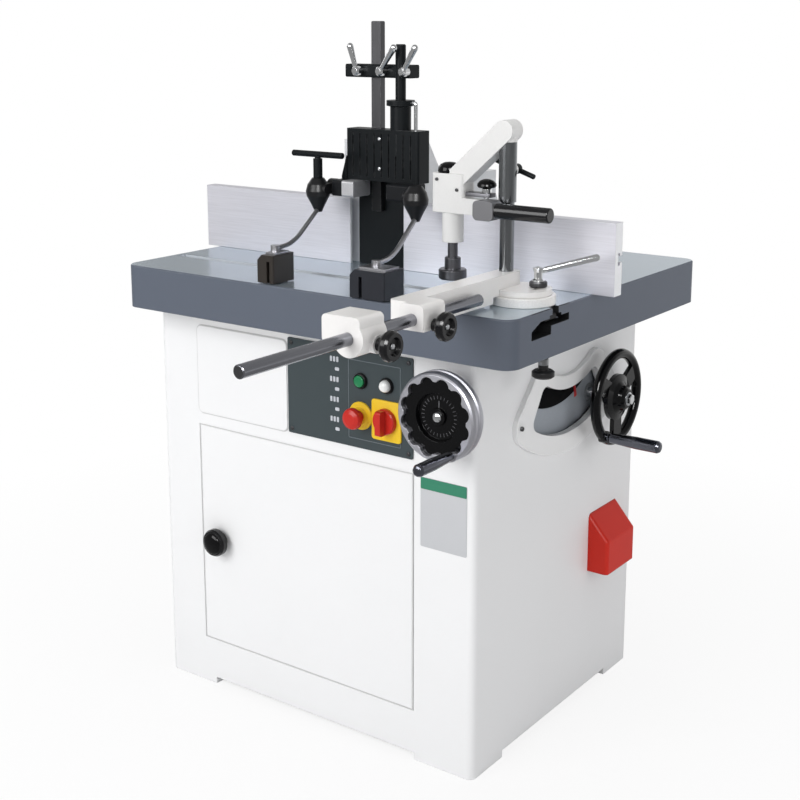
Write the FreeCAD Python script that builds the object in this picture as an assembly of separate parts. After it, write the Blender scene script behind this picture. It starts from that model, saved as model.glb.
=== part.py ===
"""Tilting-spindle moulder with a tenoning carriage, guard and hold-downs.

Millimetres, +Z up. The origin is on the floor, under the centre of the cabinet's footprint.
+X is to the right of someone at the controls, and +Y points away from them.
"""
import FreeCAD, Part
import math
import os
from FreeCAD import Vector, Rotation, Placement

# Clearances shared by every fit
RUN_FIT = 0.05
SLIDE_FIT = 0.3
DOOR_GAP = 2.5

# Cabinet
CAB_W = 768.0
CAB_D = 618.0
CAB_H = 805.0
SHEET = 3.0
CAB_CORNER_R = 14.0
TOE_H = 14.0
FOOT_W = 130.0
FOOT_D = 105.0
BASE_PLATE_T = 5.0
BASE_RING_W = 60.0
FLOOR_BOLT_R = 7.0
FLOOR_BOLT_INSET = 50.0
TOP_FLANGE_W = 25.0
BACK_RETURN = 25.0
LOUVRE_ROWS = 6
LOUVRE_L = 90.0
LOUVRE_H = 6.0

# Table
TABLE_L = 900.0
TABLE_W = 722.0
TABLE_T = 85.0
RIGHT_OVERHANG = 112.0
TABLE_PLATE = 28.0
TABLE_SKIRT = 22.0
TABLE_CORNER_R = 28.0
TABLE_EDGE = 2.0
RIB_T = 24.0
RING_R = 100.0
RING_IN_R = 88.0
RING_T = 8.0
SLOT_AHEAD = 129.0
SLOT_SETBACK = 143.0
SLOT_MOUTH = 22.0
SLOT_MOUTH_DEPTH = 12.0
SLOT_TEE = 40.0
SLOT_TEE_H = 12.0
SLOT_BOSS_W = 84.0
SLOT_BOSS_H = 22.0
POCKET_DEPTH = 30.0
POCKET_AHEAD = 79.0
POCKET_BEHIND = 47.0
POCKET_LOW = 45.0
POCKET_MID = 30.0
POCKET_HIGH = 17.0
POCKET_FOOT = 65.0
POCKET_LEAN = 30.0

# Spindle, tilt and rise
SPINDLE_X = 16.0
SPINDLE_BACK = 300.0
PIVOT_DROP = 20.0
ARBOR_R = 15.0
ARBOR_TOP = 60.0
ARBOR_FREE = 84.0
COLLAR_SEAT_R = 18.0
NOSE_R = 30.0
NOSE_T = 12.0
SHAFT_R = 20.0
PULLEY_SEAT_R = 17.5
QUILL_R = 50.0
QUILL_TOP = 65.0
QUILL_L = 225.0
BARREL_R = 70.0
BARREL_TOP = 85.0
CHEEK_IN = 85.0
CHEEK_T = 20.0
CHEEK_R0 = 78.0
CHEEK_R1 = 145.0
CHEEK_HALF_DEG = 37.0
TRUNNION_GAP = 2.0
TRUNNION_T = 30.0
TRUNNION_R = 145.0
TRUNNION_EYE_R = 55.0
GROOVE_R0 = 100.0
GROOVE_R1 = 125.0
GROOVE_DEPTH = 12.0
TONGUE_HALF_DEG = 30.0
SECTOR_TIP_R = 152.0
SECTOR_ROOT_R = 147.0
SECTOR_T = 16.0
SECTOR_FROM_DEG = -10.0
SECTOR_TO_DEG = 55.0
SECTOR_TEETH = 22
TIE_R = 12.0
TIE_ARM = 34.0
WORM_R = 15.0
WORM_L = 80.0
TILT_SHAFT_R = 10.0
TILT_WALL_GAP = 36.0
RISE_ARM = 254.0
RISE_DEG = 25.7
RISE_TUBE_R = 18.0
RISE_SHAFT_R = 10.0
PINION_TEETH = 14
PINION_MODULE = 2.0
PINION_W = 14.0
PINION_SIDE = 66.0
RISE_TRAVEL = 100.0
MOTOR_ARM = 175.0
MOTOR_R = 78.0
MOTOR_L = 160.0
MOTOR_SHAFT_R = 14.0
BRACKET_T = 14.0
PULLEY_W = 40.0
SPINDLE_PULLEY_R = 50.0
MOTOR_PULLEY_R = 72.0
GROOVE_DROP = 6.0
PULLEY_STEP = 12.0
BELT_T = 5.0
BELT_W = 11.0

# Handwheels
FRONT_WHEEL_R = 80.0
FRONT_WHEEL_DEPTH = 40.0
FRONT_WHEEL_GAP = 35.0
SCALLOPS = 12
SCALLOP_R = 14.0
SCALLOP_RING_R = 58.0
FRONT_GRIP_L = 100.0
FRONT_GRIP_R = 11.0
SIDE_WHEEL_R = 86.0
SIDE_RIM_R = 10.0
SIDE_WHEEL_GAP = 42.0
SIDE_SPOKES = 3
SIDE_SPOKE_W = 32.0
SIDE_SPOKE_T = 9.0
SIDE_WEB_R = 46.0
SIDE_HUB_R = 25.0
SIDE_HUB_BACK = 22.0
SIDE_HUB_FRONT = 26.0
SIDE_GRIP_L = 112.0
SIDE_GRIP_R = 12.0
BEZEL_T = 10.0
ARC_SLOT_IN = 62.0
ARC_SLOT_OUT = 26.0
ARC_SLOT_HALF_DEG = 31.0
BEZEL_RIM_IN = 26.0
BEZEL_RIM_OUT = 38.0
BEZEL_HALF_DEG = 42.0

# Front of the cabinet
DOOR_LEFT = 105.0
DOOR_RIGHT = 135.0
DOOR_BOTTOM = 102.0
DOOR_TOP_GAP = 29.0
DOOR_DEPTH = 20.0
DOOR_WALL = 2.0
HINGE_INSET = 8.0
HINGE_PIN_R = 4.0
HINGE_GAP = 4.0
HINGE_LEAF_T = 4.0
HINGE_LEAF_IN = 15.0
HINGE_PIN_L = 20.0
LATCH_INSET = 49.0
LATCH_H = 223.0
LATCH_R = 28.0
PANEL_RIGHT = 132.0
PANEL_W = 292.0
PANEL_H = 187.0
PANEL_DROP = 27.0
PANEL_T = 3.0
COVER_GAP = 4.0
COVER_H = 180.0
COVER_DROP = 35.0
COVER_T = 2.5
COVER_CORNER_R = 12.0
BUTTON_R = 11.0
BUTTON_COL_LEFT = 176.0
BUTTON_COL_RIGHT = 235.0
BUTTON_ROW_HIGH = 58.0
BUTTON_ROW_LOW = 124.0
MUSHROOM_R = 20.0
SWITCH_R = 24.0

# Inlet hood on the right wall
HOOD_W = 120.0
HOOD_BACK = 72.0
HOOD_Z = 265.0
HOOD_H = 122.0
HOOD_FLAT = 70.0
HOOD_DEPTH = 45.0
HOOD_EDGE_R = 8.0

# Fence, cutter hood and guard
FENCE_AHEAD = 118.0
FENCE_T = 26.0
FENCE_H = 130.0
FENCE_LEFT_OVER = 32.0
FENCE_RIGHT_OVER = 43.0
MAST_W = 111.0
MAST_SHIFT = 3.5
MAST_T = 12.0
MAST_H = 172.0
FENCE_GAP_SIDE = 10.0
CUTTER_HOOD_W = 190.0
CUTTER_HOOD_D = 263.0
CUTTER_HOOD_H = 171.0
CUTTER_HOOD_PEAK = 244.0
CUTTER_HOOD_WALL = 6.0
HOOD_PEAK_D = 12.0
HOOD_SLOPE_D = 62.0
HOOD_WINDOW_DROP = 40.0
HOOD_FLANGE_W = 360.0
HOOD_FLANGE_H = 119.0
HOOD_FLANGE_T = 10.0
SPIGOT_R = 60.0
SPIGOT_L = 60.0
GUIDE_BAR_W = 22.0
GUIDE_BAR_T = 14.0
GUIDE_BAR_TOP = 474.0
GUIDE_BAR_BOTTOM = 110.0
BOX_W = 171.0
BOX_D = 40.0
BOX_H = 99.0
BOX_SHIFT = 36.0
BOX_RIBS = 10
CYL_R = 20.0
CYL_H = 56.0
CYL_FLANGE_R = 27.0
CYL_FLANGE_T = 12.0
CYL_SHIFT = 67.0
ROD_R = 10.0
CROSS_LIFT = 97.0
CROSS_H = 25.0
CROSS_W = 152.0
CROSS_SHIFT = 17.0
CROSS_D = 32.0
ROD_ABOVE = 38.0
LEVER_HUB_R = 9.0
LEVER_ARM_R = 5.0
LEVER_HUB_L = 18.0
LEVER_END = 7.0
LEVER_LEFT = 35.0
LEVER_MID = 29.0
MOUNT_W = 52.0
MOUNT_OVER = 12.0
MOUNT_D = 54.0
MOUNT_H = 31.0
KNUCKLE_R = 24.0
KNUCKLE_H = 66.0
KNUCKLE_DISC_R = 16.0
KNUCKLE_DISC_T = 15.0
WIRE_R = 4.5
SHOE_LIFT = 2.0
SHOE_LEAD = 12.0
SHOE_SLIT = 7.0
SHOE_SLIT_LEFT = 24.0
SHOE_SLIT_RIGHT = 21.0
T_HANDLE_L = 125.0
T_HANDLE_R = 6.0

# Tenoning carriage
CARRIAGE_EDGE = 65.0
DISC_R = 57.0
DISC_T = 15.6
DISC_LIFT = 0.4
GUIDE_L = 110.0
PAD_R = 50.0
PAD_T = 10.0
ARM_W = 38.0
ARM_LEFT = 57.0
ARM_REACH = 310.0
ARM_TOP = 50.0
ARM_BEHIND = 20.0
ARM_BOTTOM = 5.0
ARM_END_R = 8.0
BOSS_L = 58.0
BOSS_AHEAD = 10.0
BOSS_SIDE = 22.0
BOSS_BOTTOM = 8.0
BOSS_FOOT = 25.0
BOSS_FOOT_H = 5.0
BAR_R = 10.0
BAR_SIDE = 6.0
BAR_LIFT = 25.0
BAR_FRONT = 708.0
BAR_L = 578.0
STOP_L = 58.0
STOP_LEFT = 48.0
STOP_SIDE = 22.0
STOP_FRONT = 478.0
STOP_TOP = 58.0
STOP_BOTTOM = 14.0
STOP_LOBE_R = 28.0
STOP_FACE = 30.0
STOP_FACE_R = 14.0
KNOB_R = 23.0
KNOB_T = 22.0
KNOB_NECK = 7.0
KNOB_SCREW_R = 4.0
COLUMN_R = 12.5
COLUMN_SIDE = 38.5
COLUMN_BACK = 7.0
COLUMN_TOP = 310.0
COLLAR_R = 15.5
COLLAR_H = 140.0
CLAMP_ARM_R = 18.5
CLAMP_ARM_T = 34.0
CLAMP_REACH = 111.5
HEAD_W = 68.0
HEAD_D = 40.0
HEAD_TOP = 213.0
HEAD_H = 69.0
SLEEVE_R = 19.0
SLEEVE_H = 53.0
PLUNGER_R = 9.0
FOOT_R = 25.0
FOOT_H = 18.0
FOOT_COLLAR_R = 14.4
FOOT_COLLAR_H = 21.0
FOOT_CLEAR = 24.0
LUG_T = 14.0
HANDLE_Z = 158.0
HANDLE_PIVOT = 53.0
HANDLE_PIN_R = 5.0
GRIP_R = 13.0
GRIP_L = 104.0
BLOCK_W = 40.0
BLOCK_D = 30.0
BLOCK_H = 34.0
TOMMY_DROP = 86.0
TOMMY_L = 89.0
TOMMY_R = 4.5
TOMMY_BOSS = 4.0
LOCK_SIDE = 20.0
LOCK_BACK = 17.0
LOCK_R = 11.0
LOCK_STUD_R = 5.0
LOCK_ARM = 101.0
LOCK_DEG = 42.0
SWIVEL_MIN_DEG = -20.0
SWIVEL_MAX_DEG = 45.0
STOP_KNOB_X = 35.0
STOP_KNOB_BACK = 23.0
STOP_KNOB_R = 20.0
STOP_STEM_R = 6.0
STOP_KNOB_DROP = 49.0

# Places that follow from the sizes above
CAB_FRONT = -CAB_D / 2
CAB_BACK = CAB_D / 2
CAB_RIGHT = CAB_W / 2
PIVOT_Y = CAB_BACK - SPINDLE_BACK
FENCE_Y0 = PIVOT_Y - FENCE_AHEAD
SLOT_Y = FENCE_Y0 - SLOT_AHEAD
TABLE_TOP = CAB_H + TABLE_T
PLATE_UNDER = TABLE_TOP - TABLE_PLATE
TABLE_FRONT = SLOT_Y - SLOT_SETBACK
TABLE_BACK = TABLE_FRONT + TABLE_W
TABLE_RIGHT = CAB_RIGHT + RIGHT_OVERHANG
TABLE_LEFT = TABLE_RIGHT - TABLE_L
SLOT_TEE_TOP = TABLE_TOP - SLOT_MOUTH_DEPTH
SLOT_FLOOR = SLOT_TEE_TOP - SLOT_TEE_H
PIVOT_Z = TABLE_TOP - PIVOT_DROP
CHEEK_OUT = CHEEK_IN + CHEEK_T
TRUNNION_IN = CHEEK_OUT + TRUNNION_GAP
TRUNNION_OUT = TRUNNION_IN + TRUNNION_T
TILT_SHAFT_X = CAB_RIGHT - TILT_WALL_GAP
TILT_SHAFT_Z = PIVOT_Z - SECTOR_TIP_R - WORM_R - SLIDE_FIT
SECTOR_X0 = TILT_SHAFT_X - SECTOR_T / 2
SECTOR_X1 = TILT_SHAFT_X + SECTOR_T / 2
RISE_Y = PIVOT_Y + RISE_ARM * math.sin(math.radians(RISE_DEG))
RISE_Z = PIVOT_Z - RISE_ARM * math.cos(math.radians(RISE_DEG))
PINION_R = PINION_TEETH * PINION_MODULE / 2
TOOTH_PITCH = math.pi * PINION_MODULE
RACK_PITCH_Y = RISE_Y - PINION_R
QUILL_Z1 = PIVOT_Z - QUILL_TOP
QUILL_Z0 = QUILL_Z1 - QUILL_L
MOTOR_Y = PIVOT_Y + MOTOR_ARM
PULLEY_Z1 = QUILL_Z0 - 2.0
PULLEY_Z0 = PULLEY_Z1 - PULLEY_W
BELT_MID_Z = PULLEY_Z1 - PULLEY_W / 4
BELT_H = BELT_W - 4.0 - 2 * SLIDE_FIT
SIDE_WHEEL_X = CAB_RIGHT + BEZEL_T + SIDE_WHEEL_GAP
FRONT_WHEEL_Y1 = CAB_FRONT - FRONT_WHEEL_GAP
FRONT_WHEEL_Y0 = FRONT_WHEEL_Y1 - FRONT_WHEEL_DEPTH
PANEL_X0 = CAB_RIGHT - PANEL_RIGHT - PANEL_W
PANEL_Z1 = CAB_H - PANEL_DROP
DOOR_X0 = DOOR_LEFT - CAB_RIGHT
DOOR_X1 = CAB_RIGHT - DOOR_RIGHT
DOOR_Z1 = PANEL_Z1 - PANEL_H - DOOR_TOP_GAP
HINGE_X = DOOR_X1 - HINGE_INSET
HINGE_Y = CAB_FRONT + HINGE_INSET
LATCH_X = DOOR_X0 + LATCH_INSET
LATCH_Z = DOOR_BOTTOM + LATCH_H
START_X = PANEL_X0 + BUTTON_COL_LEFT
LAMP_X = PANEL_X0 + BUTTON_COL_RIGHT
BUTTON_Z1 = PANEL_Z1 - BUTTON_ROW_HIGH
BUTTON_Z0 = PANEL_Z1 - BUTTON_ROW_LOW
PANEL_FACE = CAB_FRONT - PANEL_T
HOOD_Y = CAB_BACK - HOOD_BACK - HOOD_W
FENCE_Y1 = FENCE_Y0 + FENCE_T
FENCE_Z0 = TABLE_TOP + SLIDE_FIT
MAST_X0 = SPINDLE_X + MAST_SHIFT - MAST_W / 2
MAST_X1 = MAST_X0 + MAST_W
MAST_Y0 = FENCE_Y1 - MAST_T
MAST_TOP = TABLE_TOP + MAST_H
BAR_X = SPINDLE_X + MAST_SHIFT
BAR_Y0 = MAST_Y0 - GUIDE_BAR_T
BOX_X0 = SPINDLE_X + BOX_SHIFT - BOX_W / 2
BOX_X1 = BOX_X0 + BOX_W
BOX_Y1 = MAST_Y0 - 1.0
BOX_Y0 = BOX_Y1 - BOX_D
BOX_Z0 = MAST_TOP + SLIDE_FIT
BOX_Z1 = BOX_Z0 + BOX_H
CYL_X = SPINDLE_X + CYL_SHIFT
CYL_Y = (BOX_Y0 + BOX_Y1) / 2
CROSS_Z0 = BOX_Z1 + CROSS_LIFT
CROSS_X0 = SPINDLE_X + CROSS_SHIFT - CROSS_W / 2
CROSS_X1 = CROSS_X0 + CROSS_W
CROSS_Y1 = BAR_Y0 + GUIDE_BAR_T + 3.0
CROSS_Y0 = CROSS_Y1 - CROSS_D
MOUNT_LEFT = BOX_X0 - MOUNT_OVER
MOUNT_RIGHT = BOX_X1
MOUNT_Z0 = BOX_Z0 - MOUNT_H
MOUNT_Y1 = BAR_Y0 - 3.0
MOUNT_Y0 = MOUNT_Y1 - MOUNT_D
HOLD_PIVOT_Y = MOUNT_Y0 + KNUCKLE_DISC_R
HOLD_PIVOT_Z = MOUNT_Z0 + KNUCKLE_DISC_R
CARRIAGE_X = TABLE_RIGHT - CARRIAGE_EDGE
DISC_Z0 = TABLE_TOP + DISC_LIFT
DISC_Z1 = DISC_Z0 + DISC_T
PAD_Z0 = DISC_Z1 + SLIDE_FIT
PAD_Z1 = PAD_Z0 + PAD_T
ARM_X0 = CARRIAGE_X - ARM_LEFT
ARM_Y0 = SLOT_Y - ARM_REACH
ARM_Z1 = TABLE_TOP + ARM_TOP
BOSS_Y0 = ARM_Y0 - BOSS_AHEAD
STOP_BAR_X = CARRIAGE_X - BAR_SIDE
STOP_BAR_Z = TABLE_TOP + BAR_LIFT
STOP_BAR_Y0 = SLOT_Y - BAR_FRONT
STOP_Y0 = SLOT_Y - STOP_FRONT
COLUMN_X = CARRIAGE_X - COLUMN_SIDE
COLUMN_Y = SLOT_Y + COLUMN_BACK
COLLAR_Z1 = TABLE_TOP + COLUMN_TOP
TOMMY_Z = COLLAR_Z1 - TOMMY_DROP
HEAD_X = COLUMN_X - CLAMP_REACH
HEAD_Z1 = TABLE_TOP + HEAD_TOP
HEAD_Z0 = HEAD_Z1 - HEAD_H
HANDLE_X = HEAD_X + HEAD_W / 2 + HANDLE_PIVOT
HANDLE_PIVOT_Z = TABLE_TOP + HANDLE_Z
LUG_Y0 = COLUMN_Y - HEAD_D / 2
LOCK_X = CARRIAGE_X + LOCK_SIDE
LOCK_Y = SLOT_Y + LOCK_BACK

X_AXIS = Vector(1, 0, 0)
Y_AXIS = Vector(0, 1, 0)
Z_AXIS = Vector(0, 0, 1)


def box(x0, x1, y0, y1, z0, z1):
    return Part.makeBox(x1 - x0, y1 - y0, z1 - z0, Vector(x0, y0, z0))


def cyl_x(y, z, r, x0, x1):
    return Part.makeCylinder(r, x1 - x0, Vector(x0, y, z), X_AXIS)


def cyl_y(x, z, r, y0, y1):
    return Part.makeCylinder(r, y1 - y0, Vector(x, y0, z), Y_AXIS)


def cyl_z(x, y, r, z0, z1):
    return Part.makeCylinder(r, z1 - z0, Vector(x, y, z0), Z_AXIS)


def fuse(first, *others):
    return first.multiFuse(list(others)).removeSplitter()


def round_edges(shape, axis, radius):
    """Fillet every straight edge that runs along the axis."""
    edges = [e for e in shape.Edges
             if isinstance(e.Curve, Part.Line) and abs(e.Curve.Direction.dot(axis)) > 0.999]
    return shape.makeFillet(radius, edges)


def prism(points, vector):
    wire = Part.makePolygon(points + [points[0]])
    return Part.Face(wire).extrude(vector)


def revolve(profile, place, axis):
    """Turn (radius, height) points about an axis through place."""
    side = Vector(0, 1, 0) if abs(axis.x) > 0.5 else X_AXIS
    points = [place + side * r + axis * h for r, h in profile]
    wire = Part.makePolygon(points + [points[0]])
    return Part.Face(wire).revolve(place, axis, 360)


def capsule(p, q, r, thickness):
    """Stadium-shaped plate: two round ends of radius r centred at p and q."""
    along = (q - p).normalize()
    across = Vector(thickness).normalize().cross(along)
    a, b = p + across * r, q + across * r
    c, d = q - across * r, p - across * r
    edges = [Part.LineSegment(a, b).toShape(), Part.Arc(b, q + along * r, c).toShape(),
             Part.LineSegment(c, d).toShape(), Part.Arc(d, p - along * r, a).toShape()]
    return Part.Face(Part.Wire(edges)).extrude(thickness)


def below_pivot(radius, degrees, x):
    """Point at a radius from the tilt axis, turned from straight down towards the back."""
    a = math.radians(degrees)
    return Vector(x, PIVOT_Y + radius * math.sin(a), PIVOT_Z - radius * math.cos(a))


def arc_band(r0, r1, from_deg, to_deg, x0, x1):
    """Ring segment about the tilt axis, between two radii and two angles."""
    mid = (from_deg + to_deg) / 2
    outer = Part.Arc(below_pivot(r1, from_deg, x0), below_pivot(r1, mid, x0),
                     below_pivot(r1, to_deg, x0))
    inner = Part.Arc(below_pivot(r0, to_deg, x0), below_pivot(r0, mid, x0),
                     below_pivot(r0, from_deg, x0))
    edges = [outer.toShape(),
             Part.LineSegment(below_pivot(r1, to_deg, x0), below_pivot(r0, to_deg, x0)).toShape(),
             inner.toShape(),
             Part.LineSegment(below_pivot(r0, from_deg, x0), below_pivot(r1, from_deg, x0)).toShape()]
    return Part.Face(Part.Wire(edges)).extrude(Vector(x1 - x0, 0, 0))


def arc_slot(r0, r1, half_deg, x0, x1, corner):
    return round_edges(arc_band(r0, r1, -half_deg, half_deg, x0, x1), X_AXIS, corner)


def cabinet_shell():
    """Folded and welded sheet: left, front and right walls, base ring, feet and top flange."""
    reach = CAB_RIGHT - SHEET
    shell = round_edges(box(-CAB_RIGHT, CAB_RIGHT, CAB_FRONT, CAB_BACK, 0, CAB_H), Z_AXIS, CAB_CORNER_R)
    room = box(-reach, reach, CAB_FRONT + SHEET, CAB_BACK - SHEET, 0, CAB_H)
    room = round_edges(room, Z_AXIS, CAB_CORNER_R - SHEET)
    shell = shell.cut(room)
    flange = room.common(box(-reach, reach, CAB_FRONT, CAB_BACK, CAB_H - SHEET, CAB_H))
    flange = flange.cut(box(TOP_FLANGE_W - CAB_RIGHT, CAB_RIGHT - TOP_FLANGE_W,
                            CAB_FRONT + TOP_FLANGE_W, CAB_BACK - TOP_FLANGE_W, 0, CAB_H + 1))
    base = room.common(box(-reach, reach, CAB_FRONT, CAB_BACK, TOE_H, TOE_H + BASE_PLATE_T))
    base = base.cut(box(BASE_RING_W - reach, reach - BASE_RING_W, CAB_FRONT + BASE_RING_W,
                        CAB_BACK - BASE_RING_W, 0, CAB_H))
    feet = [room.common(box(min(sx * CAB_RIGHT, sx * (CAB_RIGHT - FOOT_W)),
                            max(sx * CAB_RIGHT, sx * (CAB_RIGHT - FOOT_W)),
                            min(sy * CAB_BACK, sy * (CAB_BACK - FOOT_D)),
                            max(sy * CAB_BACK, sy * (CAB_BACK - FOOT_D)), 0, TOE_H))
            for sx in (-1, 1) for sy in (-1, 1)]
    shell = fuse(shell, flange, base, *feet)
    cuts = [box(FOOT_W - CAB_RIGHT, CAB_RIGHT - FOOT_W, CAB_FRONT - 1, CAB_BACK + 1, -1, TOE_H),
            box(-CAB_RIGHT - 1, CAB_RIGHT + 1, CAB_FRONT + FOOT_D, CAB_BACK - FOOT_D, -1, TOE_H),
            box(BACK_RETURN - CAB_RIGHT, CAB_RIGHT - BACK_RETURN, CAB_BACK - SHEET - 1, CAB_BACK + 1,
                TOE_H + BASE_PLATE_T, CAB_H - SHEET),
            box(DOOR_X0 - DOOR_GAP, DOOR_X1 + HINGE_GAP, CAB_FRONT - 1, CAB_FRONT + SHEET + 1,
                DOOR_BOTTOM - DOOR_GAP, DOOR_Z1 + DOOR_GAP),
            box(START_X - BUTTON_COL_LEFT / 5, LAMP_X + BUTTON_COL_LEFT / 5, CAB_FRONT - 1,
                CAB_FRONT + SHEET + 1, BUTTON_Z0 - BUTTON_ROW_HIGH / 2, BUTTON_Z1 + BUTTON_ROW_HIGH / 2),
            cyl_y(TILT_SHAFT_X, TILT_SHAFT_Z, TILT_SHAFT_R + 6, CAB_FRONT - 1, CAB_FRONT + SHEET + 1),
            arc_slot(RISE_ARM - ARC_SLOT_IN, RISE_ARM + ARC_SLOT_OUT, ARC_SLOT_HALF_DEG,
                     CAB_RIGHT - SHEET - 1, CAB_RIGHT + 1, RISE_TUBE_R)]
    for sx in (-1, 1):
        for sy in (-1, 1):
            cuts.append(cyl_z(sx * (CAB_RIGHT - FLOOR_BOLT_INSET), sy * (CAB_BACK - FLOOR_BOLT_INSET),
                              FLOOR_BOLT_R, -1, CAB_H / 2))
    return shell.cut(Part.makeCompound(cuts))


def cabinet_back():
    """Screwed-on back panel with rows of air slots."""
    half = CAB_RIGHT - CAB_CORNER_R - 1
    panel = box(-half, half, CAB_BACK - 2 * SHEET, CAB_BACK - SHEET,
                TOE_H + BASE_PLATE_T + SLIDE_FIT, CAB_H - SHEET - SLIDE_FIT)
    slots = []
    for row in range(LOUVRE_ROWS):
        z = CAB_H / 3 + row * 4 * LOUVRE_H
        for side in (-1, 0, 1):
            x = side * LOUVRE_L * 2
            slots.append(capsule(Vector(x - LOUVRE_L / 2, CAB_BACK, z), Vector(x + LOUVRE_L / 2, CAB_BACK, z),
                                 LOUVRE_H / 2, Vector(0, -3 * SHEET, 0)))
    return panel.cut(Part.makeCompound(slots))


def upper_cover():
    """Rounded cover plate left of the control panel."""
    z1 = CAB_H - COVER_DROP
    plate = box(DOOR_X0, PANEL_X0 - COVER_GAP, CAB_FRONT - COVER_T, CAB_FRONT, z1 - COVER_H, z1)
    return round_edges(plate, Y_AXIS, COVER_CORNER_R)


def control_panel():
    """Switch plate with its button holes."""
    plate = box(PANEL_X0, PANEL_X0 + PANEL_W, PANEL_FACE, CAB_FRONT, PANEL_Z1 - PANEL_H, PANEL_Z1)
    plate = round_edges(plate, Y_AXIS, 3.0)
    holes = [cyl_y(x, z, BUTTON_R + RUN_FIT, PANEL_FACE - 1, CAB_FRONT + 1)
             for x, z in ((START_X, BUTTON_Z1), (START_X, BUTTON_Z0), (LAMP_X, BUTTON_Z0))]
    return plate.cut(Part.makeCompound(holes))


def start_button():
    """Flush push button with a dished cap."""
    front = PANEL_FACE - 9.0
    body = cyl_y(START_X, BUTTON_Z1, BUTTON_R, front, CAB_FRONT + 14)
    body = body.makeFillet(1.5, [e for e in body.Edges if e.BoundBox.YMax < front + 0.01])
    dish = Part.makeSphere(BUTTON_R * 4, Vector(START_X, front - BUTTON_R * 3.9, BUTTON_Z1))
    return body.cut(dish)


def stop_button():
    """Mushroom head on a stem."""
    profile = [(0, 0), (BUTTON_R, 0), (BUTTON_R, 36), (MUSHROOM_R * 0.8, 40), (MUSHROOM_R, 44),
               (MUSHROOM_R, 50), (MUSHROOM_R * 0.9, 54), (MUSHROOM_R * 0.55, 57), (0, 58)]
    return revolve(profile, Vector(START_X, CAB_FRONT + 18, BUTTON_Z0), Vector(0, -1, 0))


def main_switch_knob():
    """Round rotary handle with a raised grip bar, on a shaft through the panel."""
    y1 = PANEL_FACE - 4.0
    base = cyl_y(LAMP_X, BUTTON_Z0, SWITCH_R, y1 - 10, y1)
    base = base.makeChamfer(2.0, [e for e in base.Edges if e.BoundBox.YMax < y1 - 9.99])
    grip = box(LAMP_X - 6, LAMP_X + 6, y1 - 26, y1 - 9, BUTTON_Z0 - SWITCH_R + 1, BUTTON_Z0 + SWITCH_R - 1)
    grip = round_edges(grip, X_AXIS, 5.0)
    shaft = cyl_y(LAMP_X, BUTTON_Z0, BUTTON_R, y1, CAB_FRONT + 18)
    return fuse(base, grip, shaft)


def door():
    """Folded door tray, open towards the inside."""
    tray = box(DOOR_X0, DOOR_X1, CAB_FRONT, CAB_FRONT + DOOR_DEPTH, DOOR_BOTTOM, DOOR_Z1)
    tray = round_edges(tray, Z_AXIS, 2.0)
    tray = tray.cut(box(DOOR_X0 + DOOR_WALL, DOOR_X1 - DOOR_WALL, CAB_FRONT + DOOR_WALL,
                        CAB_FRONT + DOOR_DEPTH + 1, DOOR_BOTTOM + DOOR_WALL, DOOR_Z1 - DOOR_WALL))
    pin_hole = cyl_z(HINGE_X, HINGE_Y, HINGE_PIN_R + RUN_FIT, DOOR_BOTTOM - 1, DOOR_Z1 + 1)
    latch_hole = cyl_y(LATCH_X, LATCH_Z, 6 + RUN_FIT, CAB_FRONT - 1, CAB_FRONT + DOOR_WALL + 1)
    return tray.cut(Part.makeCompound([pin_hole, latch_hole]))


def door_hinges():
    """Two hinge brackets inside the front wall, each with its pin in the door."""
    pieces = []
    for near, inward in ((DOOR_Z1 + HINGE_GAP, -1), (DOOR_BOTTOM - HINGE_GAP, 1)):
        far = near - inward * HINGE_LEAF_T
        tip = near + inward * HINGE_PIN_L
        leaf = box(HINGE_X - HINGE_LEAF_IN, HINGE_X + HINGE_INSET, CAB_FRONT + SHEET,
                   CAB_FRONT + DOOR_DEPTH + HINGE_LEAF_T, min(near, far), max(near, far))
        pin = cyl_z(HINGE_X, HINGE_Y, HINGE_PIN_R, min(near, tip), max(near, tip))
        pieces.append(fuse(leaf, pin))
    return Part.makeCompound(pieces)


def latch_knob():
    """Round knob with its shaft and cam tongue behind the door."""
    profile = [(0, -24), (6, -24), (6, 0.5), (LATCH_R * 0.62, 0.5), (LATCH_R * 0.62, 7), (LATCH_R, 12),
               (LATCH_R, 22), (LATCH_R * 0.9, 27), (LATCH_R * 0.5, 29), (LATCH_R * 0.45, 26), (0, 26)]
    knob = revolve(profile, Vector(LATCH_X, CAB_FRONT, LATCH_Z), Vector(0, -1, 0))
    cam_y = CAB_FRONT + DOOR_DEPTH + 1
    cam = capsule(Vector(LATCH_X, cam_y, LATCH_Z), Vector(LATCH_X, cam_y, LATCH_Z - LATCH_INSET - 20), 9,
                  Vector(0, 4, 0))
    return fuse(knob, cam)


def slot_bezel():
    """Curved frame around the arc slot in the right wall."""
    frame = arc_slot(RISE_ARM - ARC_SLOT_IN - BEZEL_RIM_IN, RISE_ARM + ARC_SLOT_OUT + BEZEL_RIM_OUT,
                     BEZEL_HALF_DEG, CAB_RIGHT, CAB_RIGHT + BEZEL_T, 36.0)
    rim = [e for e in frame.Edges if e.BoundBox.XMin > CAB_RIGHT + BEZEL_T - 0.01]
    frame = frame.makeFillet(2.0, rim)
    return frame.cut(arc_slot(RISE_ARM - ARC_SLOT_IN, RISE_ARM + ARC_SLOT_OUT, ARC_SLOT_HALF_DEG,
                              CAB_RIGHT - 1, CAB_RIGHT + BEZEL_T + 1, RISE_TUBE_R))


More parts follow.
